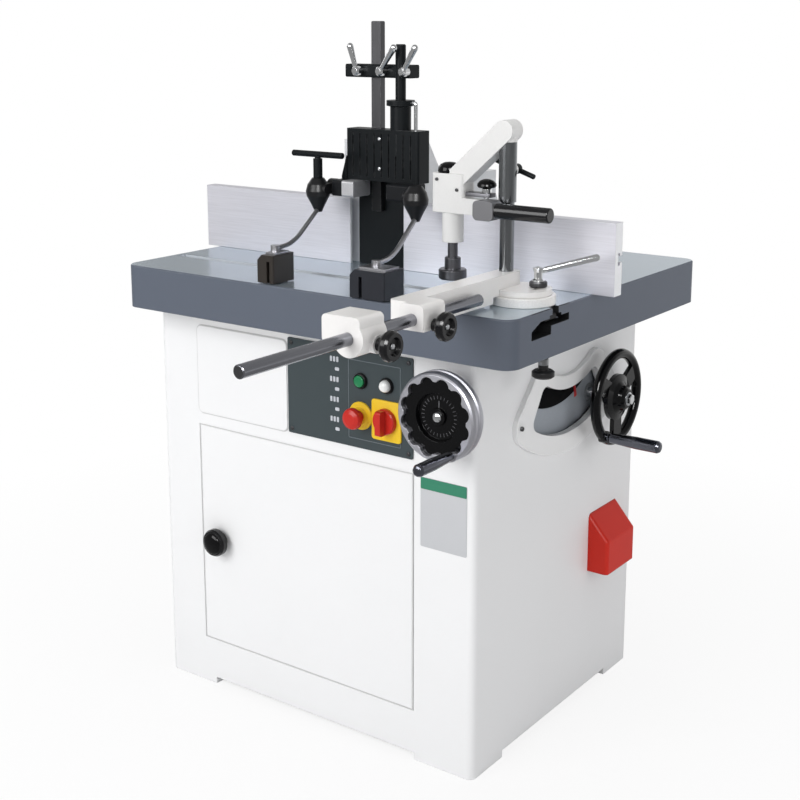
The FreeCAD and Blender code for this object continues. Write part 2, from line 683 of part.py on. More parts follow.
def inlet_hood():
    """Sloped sheet hood over the power inlet, open below."""
    def wedge(wall, side, drop):
        x1 = CAB_RIGHT + HOOD_DEPTH - wall
        points = [Vector(CAB_RIGHT, HOOD_Y + side, HOOD_Z - drop), Vector(x1, HOOD_Y + side, HOOD_Z - drop),
                  Vector(x1, HOOD_Y + side, HOOD_Z + HOOD_FLAT - wall * 0.5),
                  Vector(CAB_RIGHT, HOOD_Y + side, HOOD_Z + HOOD_H - wall * 1.6)]
        block = prism(points, Vector(0, HOOD_W - 2 * side, 0))
        free = [e for e in block.Edges if e.BoundBox.XMax > x1 - 0.01 and e.BoundBox.ZMax > HOOD_Z + 1]
        return block.makeFillet(HOOD_EDGE_R - wall, free)
    return wedge(0, 0, 0).cut(wedge(SHEET, SHEET, 1))


def table():
    """Ribbed cast table with a skirt, spindle opening and carriage slot."""
    slab = box(TABLE_LEFT, TABLE_RIGHT, TABLE_FRONT, TABLE_BACK, CAB_H, TABLE_TOP)
    slab = round_edges(slab, Z_AXIS, TABLE_CORNER_R)
    slab = slab.makeChamfer(TABLE_EDGE, [e for e in slab.Edges if e.BoundBox.ZMin > TABLE_TOP - 0.01])
    x0, x1 = TABLE_LEFT + TABLE_SKIRT, TABLE_RIGHT - TABLE_SKIRT
    y0, y1 = TABLE_FRONT + TABLE_SKIRT, TABLE_BACK - TABLE_SKIRT
    recess = box(x0, x1, y0, y1, CAB_H, PLATE_UNDER)
    slab = slab.cut(recess)
    ribs = [box(-CAB_RIGHT, RIB_T - CAB_RIGHT, y0, y1, CAB_H, PLATE_UNDER),
            box(CAB_RIGHT - RIB_T, CAB_RIGHT, y0, y1, CAB_H, PLATE_UNDER),
            box(x0, x1, CAB_FRONT, CAB_FRONT + RIB_T, CAB_H, PLATE_UNDER),
            box(x0, x1, CAB_BACK - RIB_T, CAB_BACK, CAB_H, PLATE_UNDER),
            box(x0, x1, SLOT_Y - SLOT_BOSS_W / 2, SLOT_Y + SLOT_BOSS_W / 2,
                PLATE_UNDER - SLOT_BOSS_H, PLATE_UNDER)]
    slab = fuse(slab, *[part for part in (rib.common(recess) for rib in ribs) if part.Solids])
    pocket = [Vector(TABLE_RIGHT + 1, SLOT_Y + y, TABLE_TOP - d) for y, d in
              ((-POCKET_AHEAD, POCKET_LOW), (-POCKET_AHEAD, POCKET_MID),
               (POCKET_LEAN - POCKET_AHEAD, POCKET_HIGH), (POCKET_BEHIND, POCKET_HIGH),
               (POCKET_BEHIND, POCKET_MID), (POCKET_FOOT - POCKET_AHEAD, POCKET_MID),
               (POCKET_FOOT - POCKET_AHEAD, POCKET_LOW))]
    stop_x = TABLE_RIGHT - STOP_KNOB_X
    stop_y = SLOT_Y + STOP_KNOB_BACK
    cuts = [cyl_z(SPINDLE_X, PIVOT_Y, RING_R, TABLE_TOP - RING_T, TABLE_TOP + 1),
            cyl_z(SPINDLE_X, PIVOT_Y, RING_R - 7, CAB_H, TABLE_TOP),
            box(TABLE_LEFT - 1, TABLE_RIGHT + 1, SLOT_Y - SLOT_MOUTH / 2, SLOT_Y + SLOT_MOUTH / 2,
                SLOT_FLOOR, TABLE_TOP + 1),
            box(TABLE_LEFT - 1, TABLE_RIGHT + 1, SLOT_Y - SLOT_TEE / 2, SLOT_Y + SLOT_TEE / 2,
                SLOT_FLOOR, SLOT_TEE_TOP),
            prism(pocket, Vector(-POCKET_DEPTH - 1, 0, 0)),
            cyl_z(stop_x, stop_y, STOP_STEM_R + RUN_FIT, CAB_H - 1, SLOT_FLOOR - 2)]
    return slab.cut(Part.makeCompound(cuts))


def table_ring():
    """Insert ring around the spindle, flush with the table."""
    ring = cyl_z(SPINDLE_X, PIVOT_Y, RING_R - SLIDE_FIT, TABLE_TOP - RING_T, TABLE_TOP)
    return ring.cut(cyl_z(SPINDLE_X, PIVOT_Y, RING_IN_R, TABLE_TOP - RING_T - 1, TABLE_TOP + 1))


def slide_stop_knob():
    """Spring stop under the table: stem in the slot boss, round knob below."""
    x, y = TABLE_RIGHT - STOP_KNOB_X, SLOT_Y + STOP_KNOB_BACK
    z = CAB_H - STOP_KNOB_DROP
    profile = [(0, 0), (STOP_KNOB_R * 0.8, 0), (STOP_KNOB_R, 3), (STOP_KNOB_R, 11), (STOP_KNOB_R * 0.8, 14),
               (STOP_STEM_R + 3, 14), (STOP_STEM_R + 3, 34), (STOP_STEM_R, 36),
               (STOP_STEM_R, SLOT_FLOOR - 12 - z), (0, SLOT_FLOOR - 12 - z)]
    return revolve(profile, Vector(x, y, z), Z_AXIS)


def trunnion(side):
    """Half-round bracket under the table, with an arc groove in its inner face."""
    x0 = SPINDLE_X + min(side * TRUNNION_IN, side * TRUNNION_OUT)
    plate = cyl_x(PIVOT_Y, PIVOT_Z, TRUNNION_R, x0, x0 + TRUNNION_T)
    plate = plate.cut(cyl_x(PIVOT_Y, PIVOT_Z, TRUNNION_EYE_R, x0 - 1, x0 + TRUNNION_T + 1))
    reach = TRUNNION_R + 20
    foot_x0 = x0 if side > 0 else x0 - TRUNNION_T
    foot = box(foot_x0, foot_x0 + 2 * TRUNNION_T, PIVOT_Y - reach, PIVOT_Y + reach,
               PLATE_UNDER - 14, PLATE_UNDER)
    foot = foot.cut(box(x0 - 50, x0 + 2 * TRUNNION_T, PIVOT_Y - TRUNNION_EYE_R, PIVOT_Y + TRUNNION_EYE_R,
                        PLATE_UNDER - 15, PLATE_UNDER + 1))
    plate = fuse(plate.cut(box(x0 - 1, x0 + TRUNNION_T + 1, PIVOT_Y - 2 * reach, PIVOT_Y + 2 * reach,
                               PLATE_UNDER, PIVOT_Z + 2 * reach)), foot)
    g0 = SPINDLE_X + min(side * (TRUNNION_IN - 1), side * (TRUNNION_IN + GROOVE_DEPTH))
    groove = cyl_x(PIVOT_Y, PIVOT_Z, GROOVE_R1, g0, g0 + GROOVE_DEPTH + 1)
    return plate.cut(groove.cut(cyl_x(PIVOT_Y, PIVOT_Z, GROOVE_R0, g0 - 1, g0 + GROOVE_DEPTH + 2)))


def tilt_brackets():
    """Both trunnion brackets and the housing of the tilt shaft."""
    y0, y1 = CAB_FRONT + SHEET, PIVOT_Y - WORM_L / 2 - 14
    tube = cyl_y(TILT_SHAFT_X, TILT_SHAFT_Z, TILT_SHAFT_R + 8, y0, y1)
    flange = cyl_y(TILT_SHAFT_X, TILT_SHAFT_Z, TILT_SHAFT_R + 11, y0, y0 + 8)
    bore = cyl_y(TILT_SHAFT_X, TILT_SHAFT_Z, TILT_SHAFT_R + RUN_FIT, y0 - 1, y1 + 1)
    housing = fuse(tube, flange).cut(bore)
    return Part.makeCompound([trunnion(-1), trunnion(1), housing])


def tilt_shaft():
    """Shaft of the front wheel, with the worm body at its inner end."""
    y0 = FRONT_WHEEL_Y0 + 14
    shaft = cyl_y(TILT_SHAFT_X, TILT_SHAFT_Z, TILT_SHAFT_R, y0, PIVOT_Y + WORM_L / 2 + 8)
    worm = cyl_y(TILT_SHAFT_X, TILT_SHAFT_Z, WORM_R, PIVOT_Y - WORM_L / 2, PIVOT_Y + WORM_L / 2)
    worm = worm.makeChamfer(2.0, [e for e in worm.Edges if isinstance(e.Curve, Part.Circle)])
    return fuse(shaft, worm)


def scalloped(y0, y1, inset):
    """Twelve-lobed disc, the pocket of the front wheel and its insert."""
    turns = [2 * math.pi * (i + 0.5) / SCALLOPS for i in range(SCALLOPS)]
    lobes = [cyl_y(TILT_SHAFT_X + SCALLOP_RING_R * math.cos(a), TILT_SHAFT_Z + SCALLOP_RING_R * math.sin(a),
                   SCALLOP_R - inset, y0, y1) for a in turns]
    return fuse(cyl_y(TILT_SHAFT_X, TILT_SHAFT_Z, SCALLOP_RING_R + 6 - inset, y0, y1), *lobes)


def tilt_handwheel():
    """Deep aluminium rim with a scalloped pocket, and a hub behind."""
    y0, y1 = FRONT_WHEEL_Y0, FRONT_WHEEL_Y1
    r = FRONT_WHEEL_R
    profile = [(TILT_SHAFT_R, -(FRONT_WHEEL_GAP - 13)), (TILT_SHAFT_R + 12, -(FRONT_WHEEL_GAP - 13)),
               (TILT_SHAFT_R + 14, 0), (r - 12, 0), (r - 3, 5), (r, 12), (r, 18),
               (r - 3, 20), (r - 3, 24), (r, 26), (r, FRONT_WHEEL_DEPTH - 8),
               (r - 2, FRONT_WHEEL_DEPTH - 3), (r - 5, FRONT_WHEEL_DEPTH), (TILT_SHAFT_R, FRONT_WHEEL_DEPTH)]
    wheel = revolve(profile, Vector(TILT_SHAFT_X, y1, TILT_SHAFT_Z), Vector(0, -1, 0))
    grip_x, grip_z = front_grip_place()
    boss = cyl_y(grip_x, grip_z, FRONT_GRIP_R, y0, y0 + FRONT_WHEEL_DEPTH / 2)
    pocket = scalloped(y0 - 1, y0 + FRONT_WHEEL_DEPTH - 10, 0)
    return fuse(wheel.cut(pocket), boss.cut(scalloped(y0 - 1, y1, 0)))


def front_grip_place():
    """Where the crank grip stands on the front wheel's rim."""
    a = math.radians(-60.0)
    r = FRONT_WHEEL_R - FRONT_GRIP_R
    return TILT_SHAFT_X + r * math.cos(a), TILT_SHAFT_Z + r * math.sin(a)


def tilt_wheel_insert():
    """Black insert that fills the pocket, with a raised dial ring and centre cap."""
    y0 = FRONT_WHEEL_Y0 + 7
    disc = scalloped(y0, FRONT_WHEEL_Y0 + FRONT_WHEEL_DEPTH - 10, 0.2)
    bowl = [(0, -1), (44, -1), (40, 8), (16, 8), (14, 3), (0, 3)]
    disc = disc.cut(revolve(bowl, Vector(TILT_SHAFT_X, y0, TILT_SHAFT_Z), Y_AXIS))
    shaft = cyl_y(TILT_SHAFT_X, TILT_SHAFT_Z, TILT_SHAFT_R, y0 + 6, FRONT_WHEEL_Y1)
    return disc.cut(shaft)


def crank_grip(place, axis, length, radius):
    """Slender turned grip on a rim."""
    profile = [(0, 0), (radius * 0.62, 0), (radius * 0.62, 4), (radius * 0.8, 8), (radius, length * 0.55),
               (radius, length - 6), (radius * 0.8, length - 1.5), (radius * 0.5, length), (0, length)]
    return revolve(profile, place, axis)


def tilt_grip():
    x, z = front_grip_place()
    return crank_grip(Vector(x, FRONT_WHEEL_Y0 - SLIDE_FIT, z), Vector(0, -1, 0), FRONT_GRIP_L, FRONT_GRIP_R)


def sector():
    """Toothed worm sector and the tie that carries it on the cradle."""
    span = SECTOR_TO_DEG - SECTOR_FROM_DEG
    rim = arc_band(TIE_ARM, SECTOR_ROOT_R, SECTOR_FROM_DEG, SECTOR_TO_DEG, SECTOR_X0, SECTOR_X1)
    rim = rim.cut(arc_band(TIE_ARM + 30, SECTOR_ROOT_R - 22, SECTOR_FROM_DEG + 16, SECTOR_TO_DEG - 10,
                           SECTOR_X0 - 1, SECTOR_X1 + 1))
    pitch = span / SECTOR_TEETH
    teeth = [arc_band(SECTOR_ROOT_R - 1, SECTOR_TIP_R, SECTOR_FROM_DEG + (i + 0.25) * pitch,
                      SECTOR_FROM_DEG + (i + 0.75) * pitch, SECTOR_X0, SECTOR_X1)
             for i in range(SECTOR_TEETH)]
    tie_at = below_pivot(TIE_ARM, 0, 0)
    tie = cyl_x(tie_at.y, tie_at.z, TIE_R, SPINDLE_X + CHEEK_IN, SECTOR_X1)
    return fuse(rim, tie, *teeth)


def cradle():
    """Tilting casting: quill barrel, two cheeks with arc tongues, rise-shaft tube and sector."""
    top, bottom = PIVOT_Z - BARREL_TOP, QUILL_Z0 + BRACKET_T + RISE_TRAVEL + 1.0
    parts = [cyl_z(SPINDLE_X, PIVOT_Y, BARREL_R, bottom, top)]
    parts.append(box(SPINDLE_X - CHEEK_IN - 1, SPINDLE_X + CHEEK_IN + 1, PIVOT_Y - 22, PIVOT_Y + 22,
                     PIVOT_Z - CHEEK_R1 + 6, PIVOT_Z - GROOVE_R0 + 4))
    for side in (-1, 1):
        c0 = SPINDLE_X + min(side * CHEEK_IN, side * CHEEK_OUT)
        parts.append(arc_band(CHEEK_R0, CHEEK_R1, -CHEEK_HALF_DEG, CHEEK_HALF_DEG, c0, c0 + CHEEK_T))
        t0 = SPINDLE_X + min(side * (CHEEK_OUT - 1), side * (TRUNNION_IN + GROOVE_DEPTH - 1))
        parts.append(arc_band(GROOVE_R0 + SLIDE_FIT, GROOVE_R1 - SLIDE_FIT, -TONGUE_HALF_DEG, TONGUE_HALF_DEG,
                              t0, t0 + TRUNNION_GAP + GROOVE_DEPTH))
    c0 = SPINDLE_X + CHEEK_IN
    tie_at = below_pivot(TIE_ARM, 0, c0)
    parts.append(capsule(tie_at, below_pivot(CHEEK_R0 + 12, 0, c0), TIE_R + 2, Vector(CHEEK_T, 0, 0)))
    parts.append(capsule(below_pivot(CHEEK_R0 + 40, RISE_DEG, c0), below_pivot(RISE_ARM, RISE_DEG, c0),
                         RISE_TUBE_R + 6, Vector(CHEEK_T, 0, 0)))
    parts.append(cyl_x(RISE_Y, RISE_Z, RISE_TUBE_R, c0, CAB_RIGHT - SHEET - 6))
    body = fuse(parts[0], sector(), *parts[1:])
    bores = [cyl_z(SPINDLE_X, PIVOT_Y, QUILL_R + RUN_FIT, bottom - 1, top + 1),
             cyl_x(RISE_Y, RISE_Z, RISE_SHAFT_R + RUN_FIT, c0 - 1, CAB_RIGHT)]
    return body.cut(Part.makeCompound(bores))


def pinion_teeth(x0, x1):
    """Straight teeth with backlash, one of them pointing at the rack."""
    root, tip = PINION_R - 2.4, PINION_R + 1.7
    teeth = []
    for i in range(PINION_TEETH):
        a = math.pi + 2 * math.pi * i / PINION_TEETH
        out = Vector(0, math.cos(a), math.sin(a))
        side = Vector(0, -math.sin(a), math.cos(a))
        centre = Vector(x0, RISE_Y, RISE_Z)
        outline = [centre + out * r + side * w for r, w in
                   ((root - 1, -1.9), (PINION_R, -1.25), (tip, -0.6), (tip, 0.6), (PINION_R, 1.25),
                    (root - 1, 1.9))]
        teeth.append(prism(outline, Vector(x1 - x0, 0, 0)))
    return cyl_x(RISE_Y, RISE_Z, root, x0, x1), teeth


def rise_shaft():
    """Side wheel's shaft with the pinion that drives the rack."""
    x0 = SPINDLE_X + PINION_SIDE
    hub, teeth = pinion_teeth(x0, x0 + PINION_W)
    shaft = cyl_x(RISE_Y, RISE_Z, RISE_SHAFT_R, x0, SIDE_WHEEL_X + SIDE_HUB_FRONT)
    return fuse(shaft, hub, *teeth)


def motor_bracket():
    """Plate under the quill that carries the motor, with the rack on its side."""
    z0, z1 = QUILL_Z0, QUILL_Z0 + BRACKET_T
    plate = capsule(Vector(SPINDLE_X, PIVOT_Y, z0), Vector(SPINDLE_X, MOTOR_Y, z0), QUILL_R + 14,
                    Vector(0, 0, BRACKET_T))
    pad = cyl_z(SPINDLE_X, MOTOR_Y, MOTOR_R, z0, z1)
    x0 = SPINDLE_X + PINION_SIDE
    back = RACK_PITCH_Y - 2.6
    lug = box(SPINDLE_X + 30, x0 + PINION_W, back - 14, back, z0, z1)
    rack_z1 = RISE_Z + 2.5 * TOOTH_PITCH
    count = int((RISE_TRAVEL + 5 * TOOTH_PITCH) / TOOTH_PITCH)
    rack_z0 = rack_z1 - count * TOOTH_PITCH
    bar = box(x0, x0 + PINION_W, back - 14, back, rack_z0, rack_z1)
    teeth = []
    for i in range(count):
        z = rack_z0 + (i + 0.5) * TOOTH_PITCH
        z += ((RISE_Z - z) / TOOTH_PITCH + 0.5) % 1.0 * TOOTH_PITCH
        outline = [Vector(x0, back - 1, z - 2.0), Vector(x0, RACK_PITCH_Y, z - 1.25),
                   Vector(x0, RACK_PITCH_Y + 1.7, z - 0.65), Vector(x0, RACK_PITCH_Y + 1.7, z + 0.65),
                   Vector(x0, RACK_PITCH_Y, z + 1.25), Vector(x0, back - 1, z + 2.0)]
        teeth.append(prism(outline, Vector(PINION_W, 0, 0)))
    body = fuse(plate, pad, lug, bar, *teeth)
    holes = [cyl_z(SPINDLE_X, PIVOT_Y, QUILL_R, z0 - 1, z1 + 1),
             cyl_z(SPINDLE_X, MOTOR_Y, MOTOR_SHAFT_R + 4, z0 - 1, z1 + 1)]
    return body.cut(Part.makeCompound(holes))


def quill():
    """Spindle housing that slides in the cradle's barrel."""
    tube = cyl_z(SPINDLE_X, PIVOT_Y, QUILL_R, QUILL_Z0, QUILL_Z1)
    tube = tube.makeChamfer(2.0, [e for e in tube.Edges if isinstance(e.Curve, Part.Circle)])
    return tube.cut(cyl_z(SPINDLE_X, PIVOT_Y, SHAFT_R + RUN_FIT, QUILL_Z0 - 1, QUILL_Z1 + 1))


def motor():
    """Flanged motor with cooling fins, fan cover and terminal box."""
    z0 = QUILL_Z0 + BRACKET_T
    z1 = z0 + MOTOR_L
    flange = cyl_z(SPINDLE_X, MOTOR_Y, MOTOR_R - 2, z0, z0 + 12)
    body = cyl_z(SPINDLE_X, MOTOR_Y, MOTOR_R - 12, z0 + 10, z1 - 30)
    cover = cyl_z(SPINDLE_X, MOTOR_Y, MOTOR_R, z1 - 38, z1)
    cover = cover.makeFillet(6.0, [e for e in cover.Edges if e.BoundBox.ZMin > z1 - 0.01])
    fins = []
    for i in range(18):
        fin = box(MOTOR_R - 14, MOTOR_R - 3, -2, 2, z0 + 11, z1 - 37)
        fin.Placement = Placement(Vector(SPINDLE_X, MOTOR_Y, 0), Rotation(Z_AXIS, 20.0 * i + 10.0))
        fins.append(fin)
    terminal = box(SPINDLE_X - 32, SPINDLE_X + 32, MOTOR_Y + MOTOR_R - 20, MOTOR_Y + MOTOR_R + 22,
                   z0 + 30, z1 - 48)
    body = fuse(flange, body, cover, terminal, *fins)
    return body.cut(cyl_z(SPINDLE_X, MOTOR_Y, MOTOR_SHAFT_R + RUN_FIT, z0 - 1, z0 + 40))


def grooved_pulley(big_r, small_r, seat_r, x, y, big_on_top):
    """Two-step pulley with a groove on each step."""
    half = PULLEY_W / 2
    top, low = (big_r, small_r) if big_on_top else (small_r, big_r)
    lip = (half - BELT_W) / 2
    profile = [(seat_r, 0)]
    for r, h in ((low, 0), (top, half)):
        profile += [(r, h), (r, h + lip), (r - GROOVE_DROP, h + lip + 2), (r - GROOVE_DROP, h + half - lip - 2),
                    (r, h + half - lip), (r, h + half)]
    profile.append((seat_r, PULLEY_W))
    return revolve(profile, Vector(x, y, PULLEY_Z0), Z_AXIS)


def spindle():
    """Turned spindle: seat for the pulley, bearing shaft, nose collar, collar seat and arbor."""
    nose = QUILL_Z1 + 0.5
    top = PIVOT_Z + ARBOR_TOP
    profile = [(0, PULLEY_Z0 - 6), (PULLEY_SEAT_R, PULLEY_Z0 - 6), (PULLEY_SEAT_R, PULLEY_Z1),
               (SHAFT_R, PULLEY_Z1), (SHAFT_R, nose), (NOSE_R, nose), (NOSE_R, nose + NOSE_T),
               (COLLAR_SEAT_R, nose + NOSE_T), (COLLAR_SEAT_R, top - ARBOR_FREE - 2),
               (ARBOR_R, top - ARBOR_FREE - 2), (ARBOR_R, top - 2), (ARBOR_R - 2, top), (0, top)]
    return revolve(profile, Vector(SPINDLE_X, PIVOT_Y, 0), Z_AXIS)


def arbor_collars():
    """Two spacer collars on the spindle's seat, under the cutter."""
    z0 = QUILL_Z1 + 0.5 + NOSE_T
    half = (PIVOT_Z + ARBOR_TOP - ARBOR_FREE - 2 - z0) / 2
    rings = []
    for z in (z0, z0 + half):
        ring = cyl_z(SPINDLE_X, PIVOT_Y, NOSE_R - 4, z, z + half)
        ring = ring.makeChamfer(1.0, [e for e in ring.Edges if isinstance(e.Curve, Part.Circle)])
        rings.append(ring.cut(cyl_z(SPINDLE_X, PIVOT_Y, COLLAR_SEAT_R, z - 1, z + half + 1)))
    return Part.makeCompound(rings)


def spindle_pulley():
    return grooved_pulley(SPINDLE_PULLEY_R, SPINDLE_PULLEY_R - PULLEY_STEP, PULLEY_SEAT_R,
                          SPINDLE_X, PIVOT_Y, True)


def motor_pulley():
    """Motor pulley on its shaft."""
    wheel = grooved_pulley(MOTOR_PULLEY_R, MOTOR_PULLEY_R - PULLEY_STEP, MOTOR_SHAFT_R - 1,
                           SPINDLE_X, MOTOR_Y, True)
    shaft = cyl_z(SPINDLE_X, MOTOR_Y, MOTOR_SHAFT_R, PULLEY_Z0 - 4, QUILL_Z0 + BRACKET_T + 36)
    return fuse(wheel, shaft)


def drive_belt():
    """Closed belt in the upper grooves of both pulleys."""
    def loop(extra):
        r1 = SPINDLE_PULLEY_R - GROOVE_DROP + SLIDE_FIT + extra
        r2 = MOTOR_PULLEY_R - GROOVE_DROP + SLIDE_FIT + extra
        lean = math.asin((r2 - r1) / MOTOR_ARM)
        z = BELT_MID_Z - BELT_H / 2
        ends = []
        for y, r in ((PIVOT_Y, r1), (MOTOR_Y, r2)):
            for s in (1, -1):
                ends.append(Vector(SPINDLE_X + s * r * math.cos(lean), y - r * math.sin(lean), z))
        a, b, c, d = ends
        near, far = Vector(SPINDLE_X, PIVOT_Y - r1, z), Vector(SPINDLE_X, MOTOR_Y + r2, z)
        edges = [Part.Arc(b, near, a).toShape(), Part.LineSegment(a, c).toShape(),
                 Part.Arc(c, far, d).toShape(), Part.LineSegment(d, b).toShape()]
        return Part.Face(Part.Wire(edges)).extrude(Vector(0, 0, BELT_H))
    return loop(BELT_T).cut(loop(0))


def rise_handwheel():
    """Black wheel: round rim, three broad spokes, web and a raised hub."""
    x = SIDE_WHEEL_X
    place = Vector(x, RISE_Y, RISE_Z)
    rim = Part.makeTorus(SIDE_WHEEL_R, SIDE_RIM_R, place, X_AXIS)
    back, front, half = SIDE_HUB_BACK, SIDE_HUB_FRONT, SIDE_SPOKE_T / 2
    profile = [(RISE_SHAFT_R, -back), (SIDE_HUB_R * 0.75, -back), (SIDE_HUB_R, -half - 2), (SIDE_WEB_R, -half),
               (SIDE_WEB_R, half), (SIDE_HUB_R * 1.3, half + 4), (SIDE_HUB_R, half + 10),
               (SIDE_HUB_R * 0.9, front - 5), (SIDE_HUB_R * 0.7, front), (RISE_SHAFT_R, front)]
    hub = revolve(profile, place, X_AXIS)
    spokes = []
    for i in range(SIDE_SPOKES):
        spoke = capsule(Vector(-half, 0, 0), Vector(-half, SIDE_WHEEL_R, 0), SIDE_SPOKE_W / 2,
                        Vector(SIDE_SPOKE_T, 0, 0))
        spoke = spoke.cut(cyl_x(0, 0, SIDE_HUB_R, -SIDE_SPOKE_T, SIDE_SPOKE_T))
        spoke = spoke.common(cyl_x(0, 0, SIDE_WHEEL_R, -SIDE_SPOKE_T, SIDE_SPOKE_T))
        spoke.Placement = Placement(place, Rotation(X_AXIS, 30.0 + 360.0 * i / SIDE_SPOKES))
        spokes.append(spoke)
    y, z = side_grip_place()
    boss = cyl_x(y, z, SIDE_GRIP_R, x - 4, x + SIDE_RIM_R)
    return fuse(rim, hub, boss, *spokes)


def side_grip_place():
    """Where the crank grip stands on the side wheel's rim."""
    a = math.radians(-128.0)
    return RISE_Y + SIDE_WHEEL_R * math.cos(a), RISE_Z + SIDE_WHEEL_R * math.sin(a)


def rise_grip():
    y, z = side_grip_place()
    return crank_grip(Vector(SIDE_WHEEL_X + SIDE_RIM_R + SLIDE_FIT, y, z), X_AXIS, SIDE_GRIP_L, SIDE_GRIP_R)


def fence(x0, x1, cutter_side):
    """Aluminium fence plate with a back groove and a bevelled cutter end."""
    plate = box(x0, x1, FENCE_Y0, FENCE_Y1, FENCE_Z0, FENCE_Z0 + FENCE_H)
    groove_z = FENCE_Z0 + FENCE_H / 2
    plate = plate.cut(box(x0 - 1, x1 + 1, FENCE_Y1 - 9, FENCE_Y1 + 1, groove_z - 6, groove_z + 6))
    plate = plate.cut(box(x0 - 1, x1 + 1, FENCE_Y1 - 15, FENCE_Y1 - 8, groove_z - 11, groove_z + 11))
    end = x1 if cutter_side > 0 else x0
    bevel = [Vector(end, FENCE_Y1 + 1, FENCE_Z0 - 1), Vector(end, FENCE_Y0 + 6, FENCE_Z0 - 1),
             Vector(end - cutter_side * (FENCE_T - 5), FENCE_Y1 + 1, FENCE_Z0 - 1)]
    return plate.cut(prism(bevel, Vector(0, 0, FENCE_H + 2)))


def fence_left():
    return fence(TABLE_LEFT - FENCE_LEFT_OVER, MAST_X0 - FENCE_GAP_SIDE, 1)


def fence_right():
    return fence(MAST_X1 + FENCE_GAP_SIDE, TABLE_RIGHT + FENCE_RIGHT_OVER, -1)


def cutter_hood():
    """Cast hood behind the fence, open below and at the cutter, with a dust outlet."""
    y0 = FENCE_Y1 + HOOD_FLANGE_T

    def shell(inset):
        x0, x1 = SPINDLE_X - CUTTER_HOOD_W / 2 + inset, SPINDLE_X + CUTTER_HOOD_W / 2 - inset
        low = TABLE_TOP - (1 if inset else 0)
        front = y0 - (HOOD_FLANGE_T + 1 if inset else 0)
        rear = y0 + CUTTER_HOOD_D - inset
        peak, roof = TABLE_TOP + CUTTER_HOOD_PEAK - inset, TABLE_TOP + CUTTER_HOOD_H - inset
        outline = [(front, low), (front, peak), (y0 + HOOD_PEAK_D, peak), (y0 + HOOD_SLOPE_D, roof),
                   (rear, roof), (rear, low)]
        return prism([Vector(x0, y, z) for y, z in outline], Vector(x1 - x0, 0, 0))
    outer = round_edges(shell(0), Z_AXIS, 10.0)
    flange = box(SPINDLE_X - HOOD_FLANGE_W / 2, SPINDLE_X + HOOD_FLANGE_W / 2, FENCE_Y1, y0,
                 TABLE_TOP, TABLE_TOP + HOOD_FLANGE_H)
    front = box(SPINDLE_X - CUTTER_HOOD_W / 2, SPINDLE_X + CUTTER_HOOD_W / 2, FENCE_Y1, y0 + 1,
                TABLE_TOP, TABLE_TOP + CUTTER_HOOD_PEAK)
    out_z = TABLE_TOP + CUTTER_HOOD_H / 2
    back = y0 + CUTTER_HOOD_D
    spigot = cyl_y(SPINDLE_X, out_z, SPIGOT_R, back - 4, back + SPIGOT_L)
    body = fuse(outer, flange, front, spigot)
    inner = shell(CUTTER_HOOD_WALL).common(box(-CAB_W, CAB_W, y0, back + 1, 0, 2 * CAB_H))
    window = box(SPINDLE_X - MAST_W / 2, SPINDLE_X + MAST_W / 2, FENCE_Y1 - 1, y0 + 2,
                 TABLE_TOP - 1, TABLE_TOP + MAST_H - HOOD_WINDOW_DROP)
    duct = cyl_y(SPINDLE_X, out_z, SPIGOT_R - 4, back - CUTTER_HOOD_WALL - 1, back + SPIGOT_L + 1)
    return body.cut(Part.makeCompound([inner, window, duct]))


def guard_mast():
    """Black plate that closes the gap between the fences."""
    plate = box(MAST_X0, MAST_X1, MAST_Y0, FENCE_Y1, TABLE_TOP, MAST_TOP)
    return round_edges(plate, Z_AXIS, 4.0)


def guide_bar():
    """Flat bar on the mast, on which the guard unit slides."""
    bar = box(BAR_X - GUIDE_BAR_W / 2, BAR_X + GUIDE_BAR_W / 2, BAR_Y0, MAST_Y0,
              TABLE_TOP + GUIDE_BAR_BOTTOM, TABLE_TOP + GUIDE_BAR_TOP)
    return round_edges(bar, Y_AXIS, 3.0)


def guide_bar_hole(z0, z1):
    half = GUIDE_BAR_W / 2 + SLIDE_FIT
    return box(BAR_X - half, BAR_X + half, BAR_Y0 - SLIDE_FIT, MAST_Y0 + SLIDE_FIT, z0 - 1, z1 + 1)


def guard_box():
    """Ribbed guard housing on the guide bar, with the pressure cylinder on top."""
    body = round_edges(box(BOX_X0, BOX_X1, BOX_Y0, BOX_Y1, BOX_Z0, BOX_Z1), Z_AXIS, 5.0)
    step = BOX_W / BOX_RIBS
    grooves = [box(BOX_X0 + i * step - 1.5, BOX_X0 + i * step + 1.5, BOX_Y0 - 1, BOX_Y0 + 2,
                   BOX_Z0 + 8, BOX_Z1 - 8) for i in range(1, BOX_RIBS)]
    profile = [(ROD_R + RUN_FIT, -BOX_H / 2), (CYL_R, -BOX_H / 2), (CYL_R, CYL_H - CYL_FLANGE_T),
               (CYL_FLANGE_R, CYL_H - CYL_FLANGE_T + 2), (CYL_FLANGE_R, CYL_H), (ROD_R + RUN_FIT, CYL_H)]
    socket = cyl_z(CYL_X, CYL_Y, CYL_R - 1, BOX_Z1 - BOX_H / 2, BOX_Z1 + 1)
    relief = box(BAR_X - GUIDE_BAR_W / 2, BAR_X + GUIDE_BAR_W / 2, MAST_Y0 - 1, MAST_Y0 + 1, BOX_Z0, BOX_Z1)
    body = body.cut(Part.makeCompound(grooves + [socket, guide_bar_hole(BOX_Z0, BOX_Z1), relief]))
    return fuse(body, revolve(profile, Vector(CYL_X, CYL_Y, BOX_Z1), Z_AXIS))


